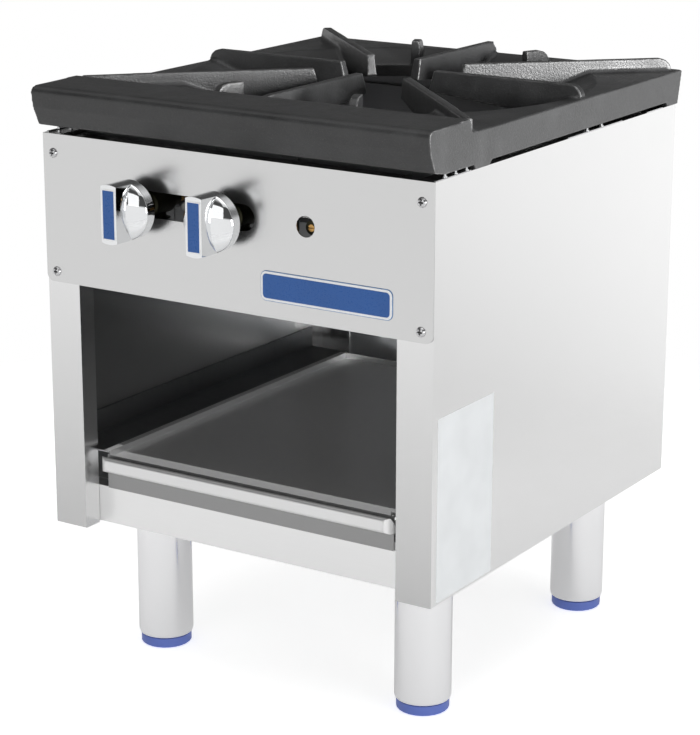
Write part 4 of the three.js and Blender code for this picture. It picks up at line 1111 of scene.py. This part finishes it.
@dataclass
class Burner:
    """Ring castings with their flame ports, the air shutters and the shield round them."""

    port_radius: float = 1.6 * MM
    port_spacing: float = 11 * MM
    rings: tuple[tuple[str, float, float], ...] = (
        ("burner_outer", 142 * MM, 1.0), ("burner_outer", 110 * MM, -1.0),
        ("burner_inner", 87 * MM, 1.0), ("burner_inner", 59 * MM, -1.0),
        ("burner_inner", 34 * MM, 1.0))
    shoulder: float = 5 * MM
    flange_reach: float = 200 * MM
    flange_span: Pair = (-12 * MM, 15 * MM)
    flange_gap: float = 6.5 * MM
    sheet: float = 1.2 * MM

    def build(self) -> None:
        """Dresses the castings and adds the ports: rims with flat dark discs in them as painted
        shade for the holes.
        """
        dress(Finish.BURNER_IRON, 0.8 * MM, "burner_outer", "burner_inner")
        dress(Finish.ZINC_SHEET, 0.2 * MM, "air_shutter_left", "air_shutter_right")
        dress(Finish.SHIELD_STEEL, 0.3 * MM, "heat_shield")
        for number, ring in enumerate(self.rings):
            self.ports(number, *ring)
        self.rear_flange()

    def rear_flange(self) -> None:
        """Adds the strip that closes the gap between the shield and the casting at the back."""
        _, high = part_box("heat_shield")
        bottom, top_edge = (high.z + step for step in self.flange_span)
        centre = Vector((0, high.y + self.flange_gap, (bottom + top_edge) / 2))
        strip = rounded_sheet(RIGHT, UP, centre, (2 * self.flange_reach, top_edge - bottom),
                              1 * MM, self.sheet)
        tab_place = Vector((self.flange_reach - 15 * MM, high.y + 3.3 * MM, bottom))
        tabs = [rounded_sheet(RIGHT, BACK, Vector((side * tab_place.x, *tab_place.yz)),
                              (20 * MM, 6.4 * MM), 0.4 * MM, self.sheet) for side in (-1, 1)]
        add_piece("shield_rear_flange", merged("flange", [strip, *tabs]), Finish.SHIELD_STEEL)

    def ports(self, number: int, node: str, radius: float, outward: float) -> None:
        """Adds a row of ports on the sloping shoulder of a ring: raised rims, each with a flat
        dark disc as painted shade for its hole.

        Args:
            number: Number of the row, for its name.
            node: Casting that the ring belongs to.
            radius: Radius of the ring's edge below the shoulder.
            outward: 1 where the shoulder faces outward, -1 where it faces the axis.
        """
        _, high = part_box(node)
        axis_y = middle("top_grate").y + BOWL_SHIFT
        count = int(2 * math.pi * radius / self.port_spacing)
        lean = Vector((outward, 0, 1)).normalized()
        seat = Vector((radius - outward * self.shoulder / 2, 0, high.z - self.shoulder / 2))
        bosses, painted_hole_shades = [], []
        for k in range(count):
            turn = Matrix.Rotation(2 * math.pi * k / count, 3, "Z")
            place = turn @ seat + BACK * axis_y
            out = turn @ lean
            r = self.port_radius
            bosses.append(turned([(r, 0.35 * MM), (r * 1.5, 0.3 * MM), (r * 1.7, -0.3 * MM),
                                  (r, -0.3 * MM), (r, 0.35 * MM)], place, out, 10))
            painted_hole_shades.append(turned([(0.0, -0.2 * MM), (r * 1.02, -0.2 * MM), (r * 1.02, 0.12 * MM),
                                 (0.0, 0.12 * MM)], place, out, 10))
        add_piece(f"port_rims_{number}", merged("rims", bosses), Finish.BURNER_IRON)
        # Flat dark discs in the rims: painted shade for the holes
        add_piece(f"ports_{number}", merged("painted_hole_shades", painted_hole_shades), Finish.PAINTED_HOLE_SHADE)


@dataclass
class TopGrate:
    """The cast top, copied from the CAD casting with softened, sand-cast edges."""

    voxel: float = 1.15 * MM
    smoothing: int = 2
    face_limit: int = 170000

    def build(self) -> None:
        """Builds the casting's visible piece."""
        work = placed("grate_work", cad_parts["top_grate"].data.copy())
        modified(work, "WELD", merge_threshold=WELD_DISTANCE)
        modified(work, "REMESH", mode="VOXEL", voxel_size=self.voxel)
        modified(work, "SMOOTH", factor=0.5, iterations=self.smoothing)
        fine = self.evaluated(work)
        modified(work, "DECIMATE", ratio=min(1.0, self.face_limit / (2 * len(fine.polygons))))
        bpy.data.meshes.remove(fine)
        mesh = self.evaluated(work)
        bpy.data.objects.remove(work)
        mesh.shade_smooth()
        piece = placed("grate_casting", mesh)
        paint(mesh, Finish.TOP_IRON.material)
        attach(piece, "grate")
        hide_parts("top_grate")
        LOG.info("piece grate_casting: %d faces", len(mesh.polygons))

    @staticmethod
    def evaluated(obj: Object) -> Mesh:
        """Returns a new mesh of an object with its modifiers applied."""
        graph = bpy.context.evaluated_depsgraph_get()
        return bpy.data.meshes.new_from_object(obj.evaluated_get(graph))


@dataclass
class DripTray:
    """The slide-out tray."""

    fold: float = 0.6 * MM

    def build(self) -> None:
        """Dresses the tray."""
        dress(Finish.TRAY_STEEL, self.fold, "drip_tray")


@dataclass
class Legs:
    """Four tubular legs with capped levelling feet."""

    def build(self) -> None:
        """Dresses the legs and feet."""
        for end in ("front_left", "front_right", "rear_left", "rear_right"):
            dress(Finish.LEG_STEEL, 0.5 * MM, f"leg_{end}")
            dress(Finish.FOOT_BLUE, 0.4 * MM, f"foot_{end}")


# Floor, light and camera


@dataclass(frozen=True)
class Lamp:
    """A soft square lamp that faces the range and lights all of it, or one object."""

    name: str
    place: Point
    size: float
    power: float
    target: str = ""

    def hang(self) -> None:
        """Puts the lamp in its place."""
        data = bpy.data.lights.new(self.name, "AREA")
        data.size = self.size
        data.energy = self.power
        lamp = placed(self.name, data)
        lamp.location = self.place
        toward = UP * LAMP_AIM - Vector(self.place)
        lamp.rotation_euler = toward.to_track_quat("-Z", "Y").to_euler()
        if self.target:
            lit = bpy.data.collections.new(self.name)
            lit.objects.link(bpy.data.objects[self.target])
            lamp.light_linking.receiver_collection = lit


@dataclass
class Studio:
    """Pale floor, soft lamps, white surroundings and the photograph's viewpoint."""

    lens: float = 115.43
    shift: Pair = (-0.0291, -0.0038)
    camera_place: Point = (1.29659, -2.04571, 0.99367)
    azimuth: float = 0.563
    elevation: float = 0.279
    roll: float = 0.004
    # Surroundings as light: bands go by the height of a direction, turns and fades by its depth
    surroundings: float = 0.92
    dark_band: float = 0.07
    backdrop: float = 0.08
    front_band: Steps = (0.12, 0.2, 0.8, 0.95)
    back_band: Steps = (0.02, 0.12, 0.7, 0.92)
    low_band: Steps = (-0.36, -0.31, -0.28, -0.22)
    front_turn: Pair = (-0.25, 0.25)
    back_turn: Pair = (0.0, 0.45)
    low_turn: Pair = (0.5, 0.7)
    low_fade: Pair = (0.82, 0.89)
    low_shade: Pair = (0.34, 0.08)
    deep_turn: Pair = (0.83, 0.90)
    deep_glow: float = 0.42
    # Floor, and the lamps in their order
    floor_colour: Colour = (0.92, 0.92, 0.92)
    floor_glow: Pair = (0.32, 0.72)
    floor_fade: Pair = (0.55, 1.2)
    floor_radius: float = 14.0
    floor_sheet: float = 0.02
    floor_drop: float = 0.5 * MM
    lamps: tuple[Lamp, ...] = (
        Lamp("key", (0.9, -0.6, 2.9), 2.0, 8.0),
        Lamp("side_box", (3.1, -1.2, 0.55), 1.0, 20.0),
        Lamp("front_fill", (0.5, -3.0, 1.8), 1.8, 11.0),
        Lamp("rim_light", (2.93, -0.52, 1.02), 0.8, 240.0, "grate_casting"),
        Lamp("tray_light", (0.9, -1.9, 0.9), 1.0, 36.0, "drip_tray"))

    def build(self) -> None:
        """Builds the whole studio."""
        self.camera()
        self.floor()
        self.world()
        for lamp in self.lamps:
            lamp.hang()

    def camera(self) -> None:
        """Makes the camera and points it as in the photograph."""
        data = bpy.data.cameras.new("camera")
        data.lens = self.lens
        data.sensor_width = 36.0
        data.shift_x, data.shift_y = self.shift
        data.clip_end = 100.0
        camera = placed("camera", data)
        turn = (Matrix.Rotation(self.azimuth, 4, "Z")
                @ Matrix.Rotation(math.pi / 2 - self.elevation, 4, "X")
                @ Matrix.Rotation(self.roll, 4, "Z"))
        camera.matrix_world = Matrix.Translation(self.camera_place) @ turn
        bpy.context.scene.camera = camera

    def floor(self) -> None:
        """Makes the floor: a wide disc that shows white to the camera but keeps shadows."""
        radius, sheet = self.floor_radius, self.floor_sheet
        mesh = turned([(0.0, -sheet), (radius, -sheet), (radius, 0.0), (0.0, 0.0)],
                      UP * -self.floor_drop, UP, 64)
        draft = MaterialDraft("floor_paint")
        marks = draft.effect(handling_group(), Size=1.5)
        draft.wire("Base Color", draft.blend(draft.times(marks["Clouds"], 0.1),
                                             self.floor_colour, shaded(self.floor_colour, 0.97)))
        draft.wire("Roughness", 0.9)
        away = draft.add("ShaderNodeVectorMath", {0: draft.coordinates}, operation="LENGTH")
        draft.wire("Alpha", draft.span(away.outputs["Value"], *self.floor_fade, 1.0, 0.0))
        seen = draft.add("ShaderNodeLightPath").outputs["Is Camera Ray"]
        draft.wire("Emission Strength", 1.0)
        draft.wire("Emission Color", draft.blend(seen, *map(grey, self.floor_glow)))
        paint(mesh, draft.material)
        placed("floor", mesh)

    def world(self) -> None:
        """Makes the surroundings: white to the camera, a studio with dark bands as light."""
        world = bpy.data.worlds.new("surroundings")
        world.use_nodes = True
        bpy.context.scene.world = world
        w = Wiring(world.node_tree)
        direction = w.split(w.add("ShaderNodeTexCoord").outputs["Generated"])
        ahead, above = direction["Y"], direction["Z"]
        frontal = self.band(w, above, self.front_band,
                            w.span(ahead, *self.front_turn, 1.0, 0.0))
        behind = self.band(w, above, self.back_band, w.span(ahead, *self.back_turn))
        studio = w.times(w.span(frontal, 0.0, 1.0, self.surroundings, self.dark_band),
                         w.span(behind, 0.0, 1.0, 1.0, self.backdrop))
        deep = w.times(w.span(above, -0.02, 0.02, 1.0, 0.0),
                       w.span(ahead, *self.deep_turn, 0.0, self.deep_glow))
        low = w.times(self.band(w, above, self.low_band, w.span(ahead, *self.low_turn)),
                      w.span(ahead, *self.low_fade, *self.low_shade))
        studio = w.calc("SUBTRACT", w.calc("ADD", studio, deep), low)
        seen = w.add("ShaderNodeLightPath").outputs["Is Camera Ray"]
        strength = w.add("ShaderNodeMix", {0: seen, 2: studio, 3: 1.0}, data_type="FLOAT")
        background = w.tree.nodes["Background"].inputs
        w.feed(background["Color"], (1.0, 1.0, 1.0, 1.0))
        w.feed(background["Strength"], strength.outputs[0])

    @staticmethod
    def band(w: Wiring, height: NodeSocket, steps: Steps, side: NodeSocket) -> NodeSocket:
        """Makes a soft band of the sky on one side.

        Args:
            w: Wiring of the world's tree.
            height: Height of the direction, -1 to 1.
            steps: Where the band starts, is full, begins to fade and ends.
            side: Mask of the side that it is on.

        Returns:
            The band as a 0 to 1 mask.
        """
        return w.times(w.span(height, *steps[:2]), w.span(height, *steps[2:], 1.0, 0.0), side)


def main() -> None:
    """Builds every sub-assembly, then the studio."""
    logging.basicConfig(level=logging.INFO, format="%(name)s: %(message)s")
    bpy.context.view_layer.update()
    bpy.context.scene.view_settings.view_transform = "Standard"
    for assembly in (Cabinet(), Controls(), Burner(), TopGrate(), DripTray(), Legs(), Studio()):
        assembly.build()
        LOG.info("built %s", type(assembly).__name__)


if __name__ == "__main__":
    main()
